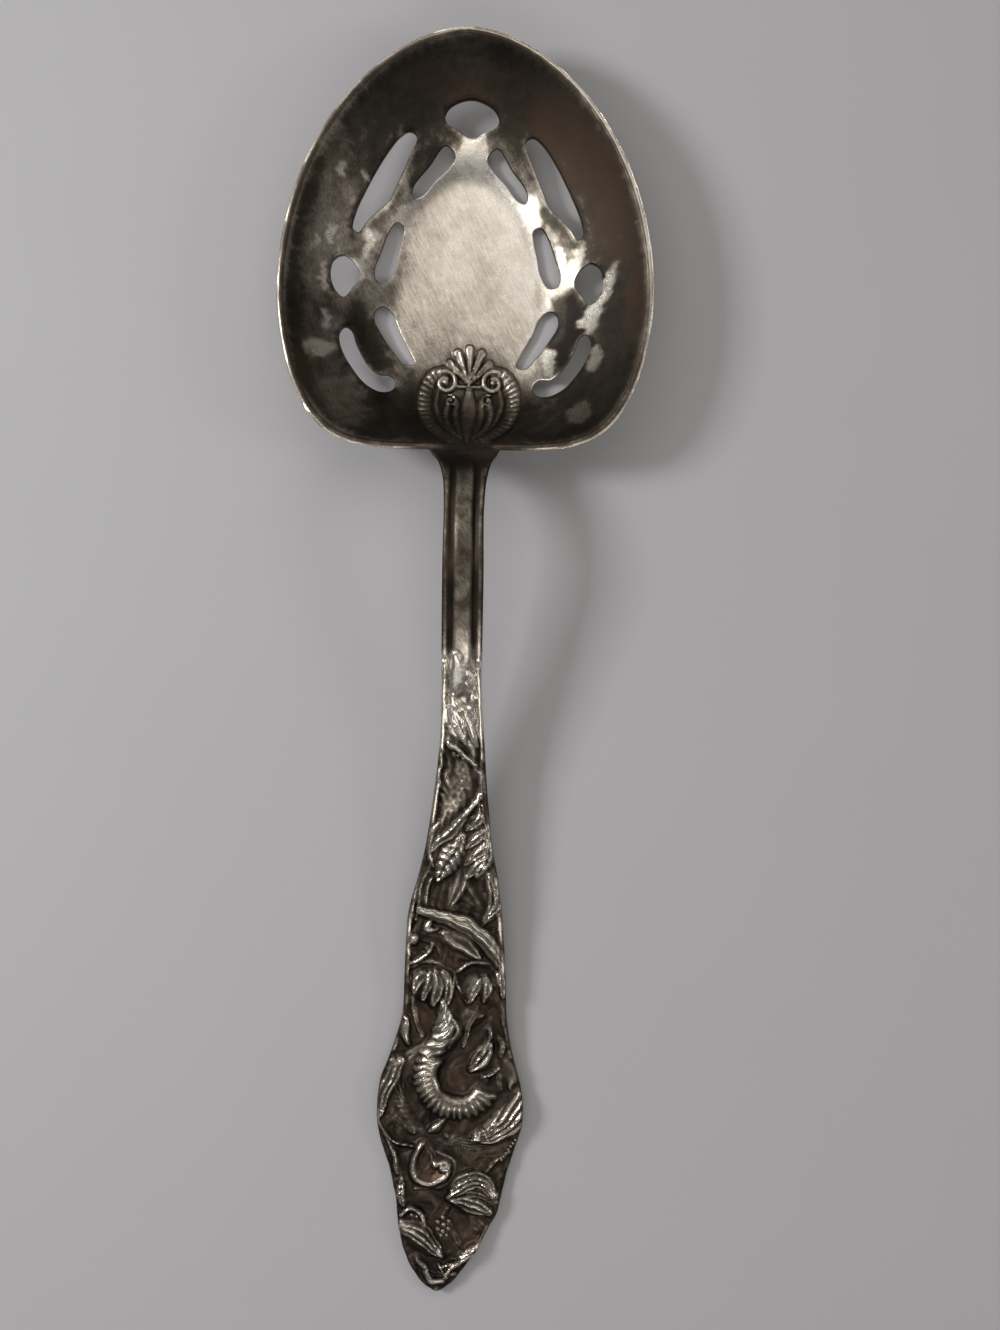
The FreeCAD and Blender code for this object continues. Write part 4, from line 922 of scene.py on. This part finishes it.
# Paler places of the carving, across from the axis and up from the handle's tip
PALE_CARVING = (
    (-0.6, 93.5, 2.8, 5.6, -12.0, 0.10), (-6.0, 41.0, 3.0, 5.0, 0.0, 0.14),
    (-2.2, 50.0, 2.6, 4.0, 0.0, 0.16), (9.0, 31.5, 4.0, 4.0, 0.0, 0.12),
    (4.0, 81.0, 3.0, 7.0, 0.0, 0.12), (4.0, 19.0, 4.0, 3.0, 0.0, 0.10),
    (-1.0, 56.5, 9.0, 3.0, 0.0, 0.12), (4.0, 105.0, 4.0, 10.0, 0.0, 0.10),
)

# Places where the bowl's walls are painted darker
DARK_SPOTS = (
    (-7.7, 92.8, 2.2, 6.0, -32.0, 0.18), (10.6, 92.3, 2.0, 6.0, 32.0, 0.08),
    (-17.8, 60.0, 3.6, 9.0, 22.0, 0.20), (18.2, 63.4, 3.4, 9.4, -8.0, 0.36),
    (-16.0, 52.0, 4.0, 4.0, 0.0, 0.12), (15.9, 84.8, 3.0, 4.4, 20.0, 0.22),
)

# Where the bowl's tarnish is amber rather than black
AMBER_SPOTS = (
    (-28.5, 52.0, 5.0, 7.0, 20.0, 1.0), (31.0, 66.0, 3.0, 10.0, 0.0, 0.8),
    (20.0, 96.0, 13.0, 10.0, -40.0, 0.8), (27.0, 84.0, 6.0, 12.0, 10.0, 0.7),
    (-24.0, 90.0, 6.0, 16.0, 30.0, 0.35), (0.0, 106.0, 12.0, 4.0, 0.0, 0.3),
)


def carved_top(form, plate, top, faces):
    """Height of the upper side and of its carving, how near its edges are, and where it is carved."""
    top_z, relief, heel, gap = plate.heights(top, True)
    station = top[:, 1] + form.length / 2
    carved = 1 - smoothstep(station, form.relief_length - 3, form.relief_length + 4)
    raised = np.clip(relief, 0, None)
    mass = MASS_SHARE * plate.settled(raised, faces, MASS_ROUNDS)
    linked = (raised ** 4 + mass ** 4) ** 0.25 - raised
    top_z += form.relief_height * carved * linked * (1 - form.border(gap, station)[0])
    foot = carved * (1 - smoothstep(raised, 0.08, 0.30)) * smoothstep(gap, 0.8, 1.5)
    top_z += foot * (plate.settled(top_z, faces, GROUND_ROUNDS) - top_z)
    saddle = np.exp(-((top[:, 1] - (form.rim_foot - 1.2)) / 2.4) ** 2)
    saddle *= 1 - smoothstep(np.abs(top[:, 0] - HEEL_AXIS), 3.6, 5.6)
    top_z += saddle * (plate.settled(top_z, faces, FOOT_ROUNDS) - top_z)
    return top_z, relief, heel, gap, carved


def ridges(form, plate, top, top_z, faces):
    """How far each point stands out from the metal round it, less where the metal is plain."""
    x, y = top.T
    radius, angle = form.polar(x, y)
    inner = form.rim_radius(angle, form.rim_thickness)
    in_bowl = radius < inner
    on_heel = plate.on_heel(x, y)
    fine, broad = [(top_z - plate.settled(top_z, faces, rounds)) / height
                   for rounds, height in (FINE_RIDGES, BROAD_RIDGES)]
    ridge = np.clip(0.34 * fine + 0.40 * broad, -0.8, 0.95)
    ridge = np.where(in_bowl & ~on_heel, np.clip(0.3 * fine, -0.3, 0.3), ridge)
    ridge = np.where(in_bowl & on_heel, 0.28 * ridge, ridge)
    on_lip = (radius >= inner) & (y > form.rim_foot - 2.0)
    return np.where(on_lip, 0.0, ridge)


def bowl_tarnish_and_painted_light(form, x, y, heel):
    """A bare worn floor painted lighter to its upper right and darker towards the heel, dark walls with worn
    places and painted highlights, a darker heel, and a worn lip with a painted highlight towards the upper
    right.
    """
    radius, angle = form.polar(x, y)
    base = form.base_radius(angle)
    inner = form.rim_radius(angle, form.rim_thickness)
    share = (radius - base) / (inner - base)
    worn = np.abs(x - 0.9) / smooth_lookup(WORN_FLOOR, 1, y)
    ragged = worn + 0.16 * waves(x, y, 9.0, seed=11) + 0.10 * waves(x, y, 3.0, seed=12)
    off_floor = np.maximum(smoothstep(ragged, 0.86, 1.2), smoothstep(y, 98.5, 101.5))
    outer_wall = smoothstep(share + 0.08 * waves(x, y, 9.0, seed=14), 0.22, 0.62)
    # The walls darken further up, and worn places and painted highlights are taken off their tarnish
    wall = 0.17 + 0.25 * off_floor + 0.24 * outer_wall - soft_spots(x, y, BARE_SPOTS_AND_PAINTED_HIGHLIGHTS)
    # Painted light on the worn floor: painted shade towards the heel and to the left, and a painted highlight
    # towards its upper right
    heel_end_shade = smoothstep(72.0 - y, 0.0, 18.0)
    wall += (1 - off_floor) * (0.17 * heel_end_shade + 0.08 * waves(x, y, 7.0, seed=18) - 0.006 * (x - 1.0))
    wall -= 0.06 * waves(x, y, 18.0, seed=13)
    wall += (1 - off_floor) * (0.05 - 0.08 * smoothstep(y + 0.8 * x, 62.0, 90.0))
    wall += 0.05 * smoothstep(y, 96.0, 106.0)
    wall -= 0.10 * outer_wall * smoothstep(-x, 12.0, 27.0) * smoothstep(y, 62.0, 76.0)
    heel_distance = np.hypot((x - HEEL_AXIS) / 12.0, (y - form.rim_foot - 6.0) / 13.0)
    wall += 0.16 * (1 - smoothstep(heel_distance, 0.75, 1.2))
    wall -= 0.12 * np.clip(heel, 0, 1)
    wall += soft_spots(x, y, DARK_SPOTS) - soft_spots(x, y, THIN_TARNISH)
    lip = (radius - inner) / form.rim_thickness
    # The lip is worn bright all round, and is painted brighter and wider towards the upper right as a painted
    # highlight
    towards_light = smoothstep(np.cos(angle - 0.8), 0.1, 0.9)
    lip_wear_and_highlight = (0.42 + 0.10 * towards_light) * smoothstep(lip + 0.22 * towards_light, 0.64, 0.86)
    lip_wear_and_highlight *= smoothstep(np.hypot(x - HEEL_AXIS, y - (form.rim_foot - 1.0)), 8.0, 13.0)
    return np.where(radius < inner, wall, 0.64 - lip_wear_and_highlight)


def handle_tarnish_and_painted_light(form, x, station, carved, relief, gap):
    """Dark ground and worn bright forms, with a painted highlight as a bright band at the carving's top, and
    a neck painted darker, partly its tarnish and partly a painted dark reflection.
    """
    panel = np.exp(-(x - 0.5) ** 2 / 1.8) * smoothstep(station, 112.0, 118.0)
    handle = 0.62 + 0.06 * carved - 0.05 * panel - 0.20 * np.clip(relief, 0, 1)
    handle += 0.07 * waves(x, station, 12.0, seed=15) + 0.05 * waves(x, station, 4.0, seed=16)
    handle -= (0.08 + 0.50 * waves(x, station, 11.0, seed=17)) * form.border(gap, station)[0]
    # A painted highlight: a bright band over the top of the carving, below the neck
    band = station + 1.2 * waves(x, station, 4.0, seed=22)
    handle -= 0.56 * smoothstep(band, 98.0, 107.0) * (1 - smoothstep(band, 116.0, 120.0))
    # The broad end is a little darker, and the neck is painted darker, partly its tarnish and partly a
    # painted dark reflection
    handle += 0.09 * (1 - smoothstep(station, 56.0, 76.0)) + 0.22 * smoothstep(station, 117.0, 128.0)
    return handle - soft_spots(x, station, PALE_CARVING)


def finish_values(form, plate, top, faces, top_z, relief, heel, gap, carved):
    """What the material reads on the upper side: tarnish with painted highlights and painted shade, ridges,
    amber and where it is carved.
    """
    x, y = top.T
    station = y + form.length / 2
    radius, angle = form.polar(x, y)
    in_bowl = radius < form.rim_radius(angle, form.rim_thickness)
    on_handle = station < form.length - form.bowl_length
    handle = handle_tarnish_and_painted_light(form, x, station, carved, relief, gap)
    warm = np.clip(0.25 + 0.8 * waves(x, station, 9.0, seed=20), 0, 1)
    return {
        "tarnish": np.where(on_handle, handle, bowl_tarnish_and_painted_light(form, x, y, heel)),
        "ridge": ridges(form, plate, top, top_z, faces),
        "amber": np.where(in_bowl, soft_spots(x, y, AMBER_SPOTS), warm),
        "carved": carved,
    }


def make_plate(sizes, material):
    """The spoon: its upper and lower side, joined by a wall along every edge."""
    form = SpoonForm(sizes)
    plate = Plate(form)
    rim = plate.rim_rows(*UPPER_RIM_ROWS)
    steps = [share * form.carving_step for share in UPPER_STEPS]
    top, top_faces = plate.triangles(np.vstack([plate.edge_rows(UPPER_EDGE_ROWS), rim, plate.field(steps)]))
    under_rim = plate.rim_rows(*UNDER_RIM_ROWS)
    under_inner = [plate.edge_rows(UNDER_EDGE_ROWS), under_rim, plate.field(UNDER_STEPS)]
    under, under_faces = plate.triangles(np.vstack(under_inner))
    top_z, relief, heel, gap, carved = carved_top(form, plate, top, top_faces)
    under_z = plate.heights(under, False)
    edges = len(plate.edge)
    top_z[:edges] = np.maximum(top_z[:edges], under_z[:edges] + EDGE_THICKNESS)
    places = np.vstack([np.column_stack([top, top_z]), np.column_stack([under, under_z])]) * MM
    first_under = len(top)
    faces = top_faces.tolist()
    faces += (under_faces[:, ::-1] + first_under).tolist()
    for start, end in plate.edge_pairs:
        wall = (start + first_under, end + first_under, end, start)
        faces.append(wall if plate.loop_of[start] == 0 else wall[::-1])
    mesh = bpy.data.meshes.new("spoon_plate")
    mesh.from_pydata(places.tolist(), [], faces)
    mesh.polygons.foreach_set("use_smooth", np.ones(len(mesh.polygons), bool))
    mesh.set_sharp_from_angle(angle=math.radians(SHARP_ANGLE))
    mesh.materials.append(material)

    on_top = finish_values(form, plate, top, top_faces, top_z, relief, heel, gap, carved)
    rest = np.zeros(len(under))
    underneath = {"tarnish": 0.42 + 0.18 * waves(*under.T, 16.0, seed=21), "amber": rest + 0.2}
    for name, values in on_top.items():
        values = np.concatenate([values, underneath.get(name, rest)])
        mesh.attributes.new(name, "FLOAT", "POINT").data.foreach_set("value", values.astype(np.float32))
    spoon = bpy.data.objects.new("spoon_plate", mesh)
    bpy.context.collection.objects.link(spoon)
    return spoon


# Roughness of every noise pattern
NOISE_ROUGHNESS = 0.55


class Shade:
    """A socket of a material, so that shader maths reads as a Python expression."""

    def __init__(self, paint, socket):
        self.paint = paint
        self.socket = socket

    def maths(self, operation, *values):
        return self.paint.node("ShaderNodeMath", {"operation": operation}, dict(enumerate(values)))

    def __add__(self, other):
        return self.maths("ADD", self, other)

    def __radd__(self, other):
        return self.maths("ADD", other, self)

    def __sub__(self, other):
        return self.maths("SUBTRACT", self, other)

    def __rsub__(self, other):
        return self.maths("SUBTRACT", other, self)

    def __mul__(self, other):
        return self.maths("MULTIPLY", self, other)

    def __rmul__(self, other):
        return self.maths("MULTIPLY", other, self)

    def __abs__(self):
        return self.maths("ABSOLUTE", self)

    def clamped(self):
        return self.paint.node("ShaderNodeClamp", {}, {"Value": self})


class Paint:
    """A material's node tree, to which one method adds any node."""

    def __init__(self, name):
        self.material = bpy.data.materials.new(name)
        self.material.use_nodes = True
        self.tree = self.material.node_tree
        self.tree.nodes.clear()

    def node(self, kind, settings, values, output=0):
        """A node of that type, with its settings made first and then its inputs."""
        made = self.tree.nodes.new(kind)
        for name, setting in settings.items():
            if name == "stops":
                ramp = made.color_ramp.elements
                while len(ramp) < len(setting):
                    ramp.new(0.5)
                for stop, (place, colour) in zip(ramp, setting):
                    stop.position = place
                    stop.color = (*colour[:3], 1.0)
            else:
                setattr(made, name, setting)
        for name, value in values.items():
            if isinstance(value, Shade):
                self.tree.links.new(value.socket, made.inputs[name])
            else:
                made.inputs[name].default_value = value
        return Shade(self, made.outputs[output])

    def attribute(self, name):
        return self.node("ShaderNodeAttribute", {"attribute_name": name}, {}, "Fac")

    def millimetres(self):
        place = self.node("ShaderNodeTexCoord", {}, {}, "Object")
        return self.node("ShaderNodeVectorMath", {"operation": "SCALE"}, {"Vector": place, "Scale": 1000.0})

    def stretched(self, place, turn, scale):
        """Places for a pattern that is drawn out along a direction."""
        settings = {"vector_type": "TEXTURE"}
        values = {"Vector": place, "Rotation": (0.0, 0.0, math.radians(turn)), "Scale": (scale, 1.0, 1.0)}
        return self.node("ShaderNodeMapping", settings, values)

    def noise(self, place, size, detail):
        values = {"Vector": place, "Scale": 1.0 / size, "Detail": detail, "Roughness": NOISE_ROUGHNESS}
        return self.node("ShaderNodeTexNoise", {}, values, "Fac")

    def rise(self, value, low, high):
        values = {"Value": value, "From Min": low, "From Max": high}
        return self.node("ShaderNodeMapRange", {"interpolation_type": "SMOOTHSTEP"}, values)

    def mixed(self, factor, first, second):
        values = {0: factor, 6: first, 7: second}
        return self.node("ShaderNodeMix", {"data_type": "RGBA"}, values, 2)

    def finish(self, shader):
        made = self.tree.nodes.new("ShaderNodeOutputMaterial")
        self.tree.links.new(shader.socket, made.inputs["Surface"])
        return self.material


# Fine scratches of the silver: direction in degrees, stretch along it and spacing in
# millimetres, and how broad each line is
SCRATCHES = ((12, 26, 0.26), (78, 22, 0.2), (-38, 30, 0.3), (152, 18, 0.22))
SCRATCH_WIDTH = 0.018
BRUSHED_TURN = 116


def silver_plate(finish):
    """Worn silver plate: bright on the ridges, brown to black tarnish in the hollows."""
    paint = Paint("tarnished_silver_plate")
    place = paint.millimetres()
    ridge = paint.attribute("ridge")
    carved = paint.attribute("carved")
    cloud = paint.noise(place, 9.0, 4.0)
    blotch = paint.noise(place, 2.2, 4.0)
    speck = paint.noise(place, 0.45, 3.0)
    # The tarnish attribute also holds the painted highlights and painted shade of the bowl and the handle
    level = paint.attribute("tarnish") + 0.26 * (cloud - 0.5) + 0.28 * (blotch - 0.5) + 0.16 * (speck - 0.5)
    level = level - ridge * (0.42 - 0.08 * carved)
    marks = None
    for number, (turn, length, spacing) in enumerate(SCRATCHES):
        streaks = paint.noise(paint.stretched(place, turn, length), spacing, 1.0)
        line = 1.0 - paint.rise(abs(streaks - 0.5 - 0.02 * number), 0.0, SCRATCH_WIDTH)
        marks = line if marks is None else marks.maths("MAXIMUM", marks, line)
    worn = 1.0 - paint.rise(level, 0.35, 0.75)
    grain = paint.noise(paint.stretched(place, BRUSHED_TURN, 9), 0.34, 2.0)
    rubbing = (1.0 - carved) * (0.36 * (grain - 0.5) + 0.16 * (speck - 0.5))
    level = (level - (0.16 * marks + rubbing) * worn).clamped()
    stops = (
        (0.0, finish.bright), (0.22, finish.soft), (0.42, finish.grey), (0.62, finish.brown),
        (0.85, finish.dark),
    )
    colour = paint.node("ShaderNodeValToRGB", {"stops": stops}, {"Fac": level}, "Color")
    bloom = 0.5 + 0.5 * paint.rise(cloud, 0.3, 0.7)
    tint = paint.rise(level, 0.35, 0.75) * paint.attribute("amber") * bloom
    colour = paint.mixed(tint, colour, (*finish.amber, 1.0))
    dulled = 0.18 * paint.rise(level, 0.1, 0.8)
    roughness = 0.27 - 0.07 * carved + dulled + 0.14 * (blotch - 0.5) + 0.05 * marks
    dents = paint.noise(place, 3.4, 2.0)
    pits = paint.noise(place, 0.28, 2.0)
    brushed = paint.noise(paint.stretched(place, BRUSHED_TURN, 12), 0.17, 2.0)
    rough_ground = 0.002 + 0.035 * carved * paint.rise(level, 0.4, 0.8)
    height = 0.008 * dents + pits * rough_ground - 0.003 * marks + 0.004 * brushed
    values = {"Height": height, "Distance": MM, "Strength": 1.0}
    bump = paint.node("ShaderNodeBump", {}, values, "Normal")
    values = {"Base Color": colour, "Metallic": 1.0, "Roughness": roughness, "Normal": bump}
    return paint.finish(paint.node("ShaderNodeBsdfPrincipled", {}, values))


def bead_tree(material):
    """Geometry Nodes that set a half-sunk bead of the right size on every point."""
    tree = bpy.data.node_groups.new("set_beads", "GeometryNodeTree")
    tree.interface.new_socket("Places", in_out="INPUT", socket_type="NodeSocketGeometry")
    roundness = tree.interface.new_socket("Roundness", in_out="INPUT", socket_type="NodeSocketInt")
    flatness = tree.interface.new_socket("Flatness", in_out="INPUT", socket_type="NodeSocketFloat")
    tree.interface.new_socket("Beads", in_out="OUTPUT", socket_type="NodeSocketGeometry")
    nodes = tree.nodes
    given = nodes.new("NodeGroupInput")
    ball = nodes.new("GeometryNodeMeshIcoSphere")
    ball.inputs["Radius"].default_value = 1.0
    tree.links.new(given.outputs["Roundness"], ball.inputs["Subdivisions"])
    size = nodes.new("GeometryNodeInputNamedAttribute")
    size.data_type = "FLOAT"
    size.inputs["Name"].default_value = "bead_radius"
    squash = nodes.new("ShaderNodeCombineXYZ")
    low = nodes.new("ShaderNodeMath")
    low.operation = "MULTIPLY"
    tree.links.new(size.outputs["Attribute"], low.inputs[0])
    tree.links.new(given.outputs["Flatness"], low.inputs[1])
    tree.links.new(size.outputs["Attribute"], squash.inputs["X"])
    tree.links.new(size.outputs["Attribute"], squash.inputs["Y"])
    tree.links.new(low.outputs[0], squash.inputs["Z"])
    place = nodes.new("GeometryNodeInstanceOnPoints")
    tree.links.new(given.outputs["Places"], place.inputs["Points"])
    tree.links.new(ball.outputs["Mesh"], place.inputs["Instance"])
    tree.links.new(squash.outputs["Vector"], place.inputs["Scale"])
    real = nodes.new("GeometryNodeRealizeInstances")
    tree.links.new(place.outputs["Instances"], real.inputs["Geometry"])
    smooth = nodes.new("GeometryNodeSetShadeSmooth")
    tree.links.new(real.outputs["Geometry"], smooth.inputs["Geometry"])
    coat = nodes.new("GeometryNodeSetMaterial")
    coat.inputs["Material"].default_value = material
    tree.links.new(smooth.outputs["Geometry"], coat.inputs["Geometry"])
    result = nodes.new("NodeGroupOutput")
    tree.links.new(coat.outputs["Geometry"], result.inputs["Beads"])
    return tree, roundness.identifier, flatness.identifier


def seat(x, y, radius):
    """Where a bead of that radius sits, sunk a little into the metal below it."""
    metal = bpy.data.objects["spoon_plate"].ray_cast(Vector((x, y, CAD_HIGH.z)), Vector((0.0, 0.0, -1.0)))[1]
    return x, y, metal.z - BEAD_SINK * radius


def make_beads(sizes, material):
    """The berries and seed beads as one mesh of separate half-sunk balls."""
    form = SpoonForm(sizes)
    rows = list(BEADS)
    start, end, count, radius = EDGE_BEADS
    for share in np.linspace(0, 1, count):
        rows.append((start[0] + share * (end[0] - start[0]), start[1] + share * (end[1] - start[1]), radius))
    x, station, radius = np.array(rows, float).T
    y = station - form.length / 2
    mesh = bpy.data.meshes.new("relief_beads")
    seats = [seat(x_at * MM, y_at * MM, size * MM) for x_at, y_at, size in zip(x, y, radius)]
    mesh.from_pydata(seats, [], [])
    bead_radius = mesh.attributes.new("bead_radius", "FLOAT", "POINT")
    bead_radius.data.foreach_set("value", (radius * MM).astype(np.float32))
    places = bpy.data.objects.new("bead_places", mesh)
    bpy.context.collection.objects.link(places)
    tree, roundness, flatness = bead_tree(material)
    modifier = places.modifiers.new("beads", "NODES")
    modifier.node_group = tree
    modifier[roundness] = BEAD_ROUNDNESS
    modifier[flatness] = BEAD_FLATNESS
    made = bpy.data.meshes.new_from_object(places.evaluated_get(bpy.context.evaluated_depsgraph_get()))
    bpy.data.objects.remove(places)
    for name, value in BEAD_FINISH.items():
        values = np.full(len(made.vertices), value, np.float32)
        if name == "tarnish":
            tops = np.array([vertex.normal.z for vertex in made.vertices])
            values += (BEAD_SIDE_TARNISH * (1 - tops)).astype(np.float32)
        made.attributes.new(name, "FLOAT", "POINT").data.foreach_set("value", values)
    beads = bpy.data.objects.new("relief_beads", made)
    bpy.context.collection.objects.link(beads)
    return beads


def length_value(name, description, default):
    return bpy.props.FloatProperty(
        name=name, description=description, default=default * MM, min=0.0, precision=5, unit="LENGTH"
    )


def colour_value(name, description, default):
    return bpy.props.FloatVectorProperty(
        name=name, description=description, default=default, size=3, min=0.0, max=1.0, subtype="COLOR"
    )


class SpoonSizes(bpy.types.PropertyGroup):
    """Sizes of the spoon. Its length and its bowl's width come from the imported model."""

    bowl_length: length_value("Bowl length", "From the bowl's tip to the neck side of its rim", 75.0)
    bowl_height: length_value("Bowl height", "From the table to the top of the rim", 15.3)
    widest_from_tip: length_value("Widest place", "How far from its tip the bowl is widest", 47.7)
    base_width: length_value("Base width", "Width of the flat floor of the bowl", 25.2)
    base_towards_tip: length_value("Base towards tip", "How far the flat floor runs towards the tip", 23.3)
    base_towards_neck: length_value("Base towards neck", "How far it runs towards the neck", 14.8)
    sheet: length_value("Sheet", "Thickness of the bowl's wall", 1.3)
    rim_thickness: length_value("Rim thickness", "Width of the rolled rim", 1.2)
    rim_crown: length_value("Rim crown", "How far the rim is rounded up", 0.3)
    handle_thickness: length_value("Handle thickness", "Thickness of the handle's broad end", 2.2)
    neck_thickness: length_value("Neck thickness", "Thickness of the neck", 3.8)
    neck_rise: length_value("Neck rise", "How high the neck arches over the table", 22.0)
    panel_width: length_value("Panel width", "Width of the raised panel on the neck", 4.2)
    groove_width: length_value("Groove width", "Width of the grooves beside the panel", 0.42)
    groove_depth: length_value("Groove depth", "Depth of the grooves beside the panel", 0.45)
    relief_length: length_value("Relief length", "How far the carving runs up the handle", 117.0)
    relief_height: length_value("Relief height", "Height of the carving on the handle", 1.75)
    ground_depth: length_value("Ground depth", "How far the ground round the carving is sunk", 0.35)
    heel_relief_height: length_value("Heel relief", "Height of the ornament on the heel", 1.0)
    border_width: length_value("Border width", "Width of the bright border along the handle", 1.05)
    edge_round: length_value("Edge round", "Rounding of the handle's edges", 0.5)
    hole_round: length_value("Piercing round", "Rounding of the piercings' edges", 0.2)
    edge_step: length_value("Edge step", "Distance between the points along an edge", 0.27)
    carving_step: length_value("Carving step", "Distance between the points of the carving", 0.27)


class SpoonFinish(bpy.types.PropertyGroup):
    """Colours of the silver plate, from bright to black, and of the table."""

    bright: colour_value("Bright silver", "Rubbed high points", (0.88, 0.82, 0.73))
    soft: colour_value("Soft silver", "Silver dulled by handling", (0.64, 0.57, 0.485))
    grey: colour_value("Grey tarnish", "Thin tarnish", (0.30, 0.26, 0.21))
    brown: colour_value("Brown tarnish", "Thicker tarnish", (0.080, 0.067, 0.052))
    dark: colour_value("Black tarnish", "Tarnish in the hollows", (0.028, 0.023, 0.019))
    amber: colour_value("Amber tarnish", "Warm bloom at the edge of the tarnish", (0.110, 0.070, 0.048))
    table: colour_value("Table", "The table top", (0.56, 0.545, 0.555))


class SPOON_OT_plate(bpy.types.Operator):
    """Make the spoon itself: pierced bowl, neck and carved handle"""

    bl_idname = "spoon.plate"
    bl_label = "Spoon plate"

    def execute(self, context):
        material = silver_plate(context.scene.spoon_finish)
        spoon = make_plate(context.scene.spoon_sizes, material)
        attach(spoon, "root")
        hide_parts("spoon")
        return {"FINISHED"}


class SPOON_OT_beads(bpy.types.Operator):
    """Set the berries and seed beads on the handle's carving"""

    bl_idname = "spoon.beads"
    bl_label = "Relief beads"

    def execute(self, context):
        material = bpy.data.materials["tarnished_silver_plate"]
        beads = make_beads(context.scene.spoon_sizes, material)
        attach(beads, "root")
        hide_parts("spoon")
        return {"FINISHED"}


# Lamps of the stage: place and size in metres, watts and colour
LAMPS = {
    "far_ceiling": ((-0.05, 0.50, 0.85), (1.2, 0.76), 2.35, (1.0, 0.97, 0.92)),
    "ceiling_lamp": ((0.05, 0.35, 0.85), (0.12, 0.12), 0.04, (1.0, 0.95, 0.90)),
    "near_ceiling": ((0.0, -0.58, 0.85), (0.8, 0.22), 1.5, (1.0, 0.97, 0.92)),
    "window": ((-0.38, 0.10, 0.36), (0.10, 0.13), 1.2, (0.96, 0.98, 1.0)),
    "room": ((0.60, -0.05, 0.45), (0.14, 0.14), 0.40, (1.0, 0.98, 0.95)),
}
ROOM_COLOUR = (0.93, 0.95, 1.0, 1.0)
ROOM_STRENGTH = 0.14

# The table top in metres, just under the spoon, and the darker shade of its mottling
TABLE_REACH = 2.5
TABLE_LEVEL = -0.02 * MM
TABLE_MOTTLING = 0.97

# The camera looks straight down: place in metres, turn in degrees, lens and sensor height
CAMERA_PLACE = (0.0072, 0.0015, 0.300)
CAMERA_TURN = 0.89
CAMERA_LENS = 43.56
CAMERA_SENSOR = 36.0


def area_lamp(name, place, size, watts, colour):
    lamp = bpy.data.lights.new(name, "AREA")
    lamp.shape = "RECTANGLE"
    lamp.size, lamp.size_y = size
    lamp.energy = watts
    lamp.color = colour
    made = bpy.data.objects.new(name, lamp)
    made.location = place
    made.rotation_euler = (-Vector(place)).to_track_quat("-Z", "Y").to_euler()
    bpy.context.collection.objects.link(made)


class SPOON_OT_stage(bpy.types.Operator):
    """Lay the pale table, and set the soft light and the camera straight above"""

    bl_idname = "spoon.stage"
    bl_label = "Stage"

    def execute(self, context):
        paint = Paint("pale_table")
        grain = paint.noise(paint.millimetres(), 40.0, 2.0)
        table = context.scene.spoon_finish.table
        darker = [TABLE_MOTTLING * channel for channel in table]
        colour = paint.mixed(grain, (*darker, 1.0), (*table, 1.0))
        values = {"Base Color": colour, "Roughness": 0.85, "Specular IOR Level": 0.2}
        paint.finish(paint.node("ShaderNodeBsdfPrincipled", {}, values))
        mesh = bpy.data.meshes.new("table_top")
        sides = ((-1, -1), (1, -1), (1, 1), (-1, 1))
        corners = [(x * TABLE_REACH, y * TABLE_REACH, TABLE_LEVEL) for x, y in sides]
        mesh.from_pydata(corners, [], [(0, 1, 2, 3)])
        mesh.materials.append(paint.material)
        top = bpy.data.objects.new("table_top", mesh)
        context.collection.objects.link(top)
        world = bpy.data.worlds.new("pale_room")
        world.use_nodes = True
        background = world.node_tree.nodes["Background"]
        background.inputs["Color"].default_value = ROOM_COLOUR
        background.inputs["Strength"].default_value = ROOM_STRENGTH
        context.scene.world = world
        for name, lamp in LAMPS.items():
            area_lamp(name, *lamp)
        lens = bpy.data.cameras.new("camera")
        lens.sensor_fit = "VERTICAL"
        lens.sensor_height = CAMERA_SENSOR
        lens.lens = CAMERA_LENS
        camera = bpy.data.objects.new("camera", lens)
        camera.location = CAMERA_PLACE
        camera.rotation_euler = (0.0, 0.0, math.radians(CAMERA_TURN))
        context.collection.objects.link(camera)
        context.scene.camera = camera
        context.scene.view_settings.view_transform = "Standard"
        return {"FINISHED"}


class SPOON_PT_panel(bpy.types.Panel):
    """Sizes, colours and steps of the spoon"""

    bl_idname = "SPOON_PT_panel"
    bl_label = "Pierced serving spoon"
    bl_space_type = "VIEW_3D"
    bl_region_type = "UI"
    bl_category = "Spoon"

    def draw(self, context):
        for group in (context.scene.spoon_sizes, context.scene.spoon_finish):
            column = self.layout.column()
            for name in group.bl_rna.properties.keys():
                if name not in ("rna_type", "name"):
                    column.prop(group, name)
        for step in STEPS:
            self.layout.operator(step.bl_idname)


STEPS = (SPOON_OT_plate, SPOON_OT_beads, SPOON_OT_stage)
CLASSES = (SpoonSizes, SpoonFinish, *STEPS, SPOON_PT_panel)


def register():
    for made in CLASSES:
        bpy.utils.register_class(made)
    bpy.types.Scene.spoon_sizes = bpy.props.PointerProperty(type=SpoonSizes)
    bpy.types.Scene.spoon_finish = bpy.props.PointerProperty(type=SpoonFinish)


def unregister():
    del bpy.types.Scene.spoon_finish
    del bpy.types.Scene.spoon_sizes
    for made in reversed(CLASSES):
        bpy.utils.unregister_class(made)


def main():
    """Build the spoon and its stage."""
    register()
    bpy.ops.spoon.plate()
    bpy.ops.spoon.beads()
    bpy.ops.spoon.stage()


if __name__ == "__main__":
    main()
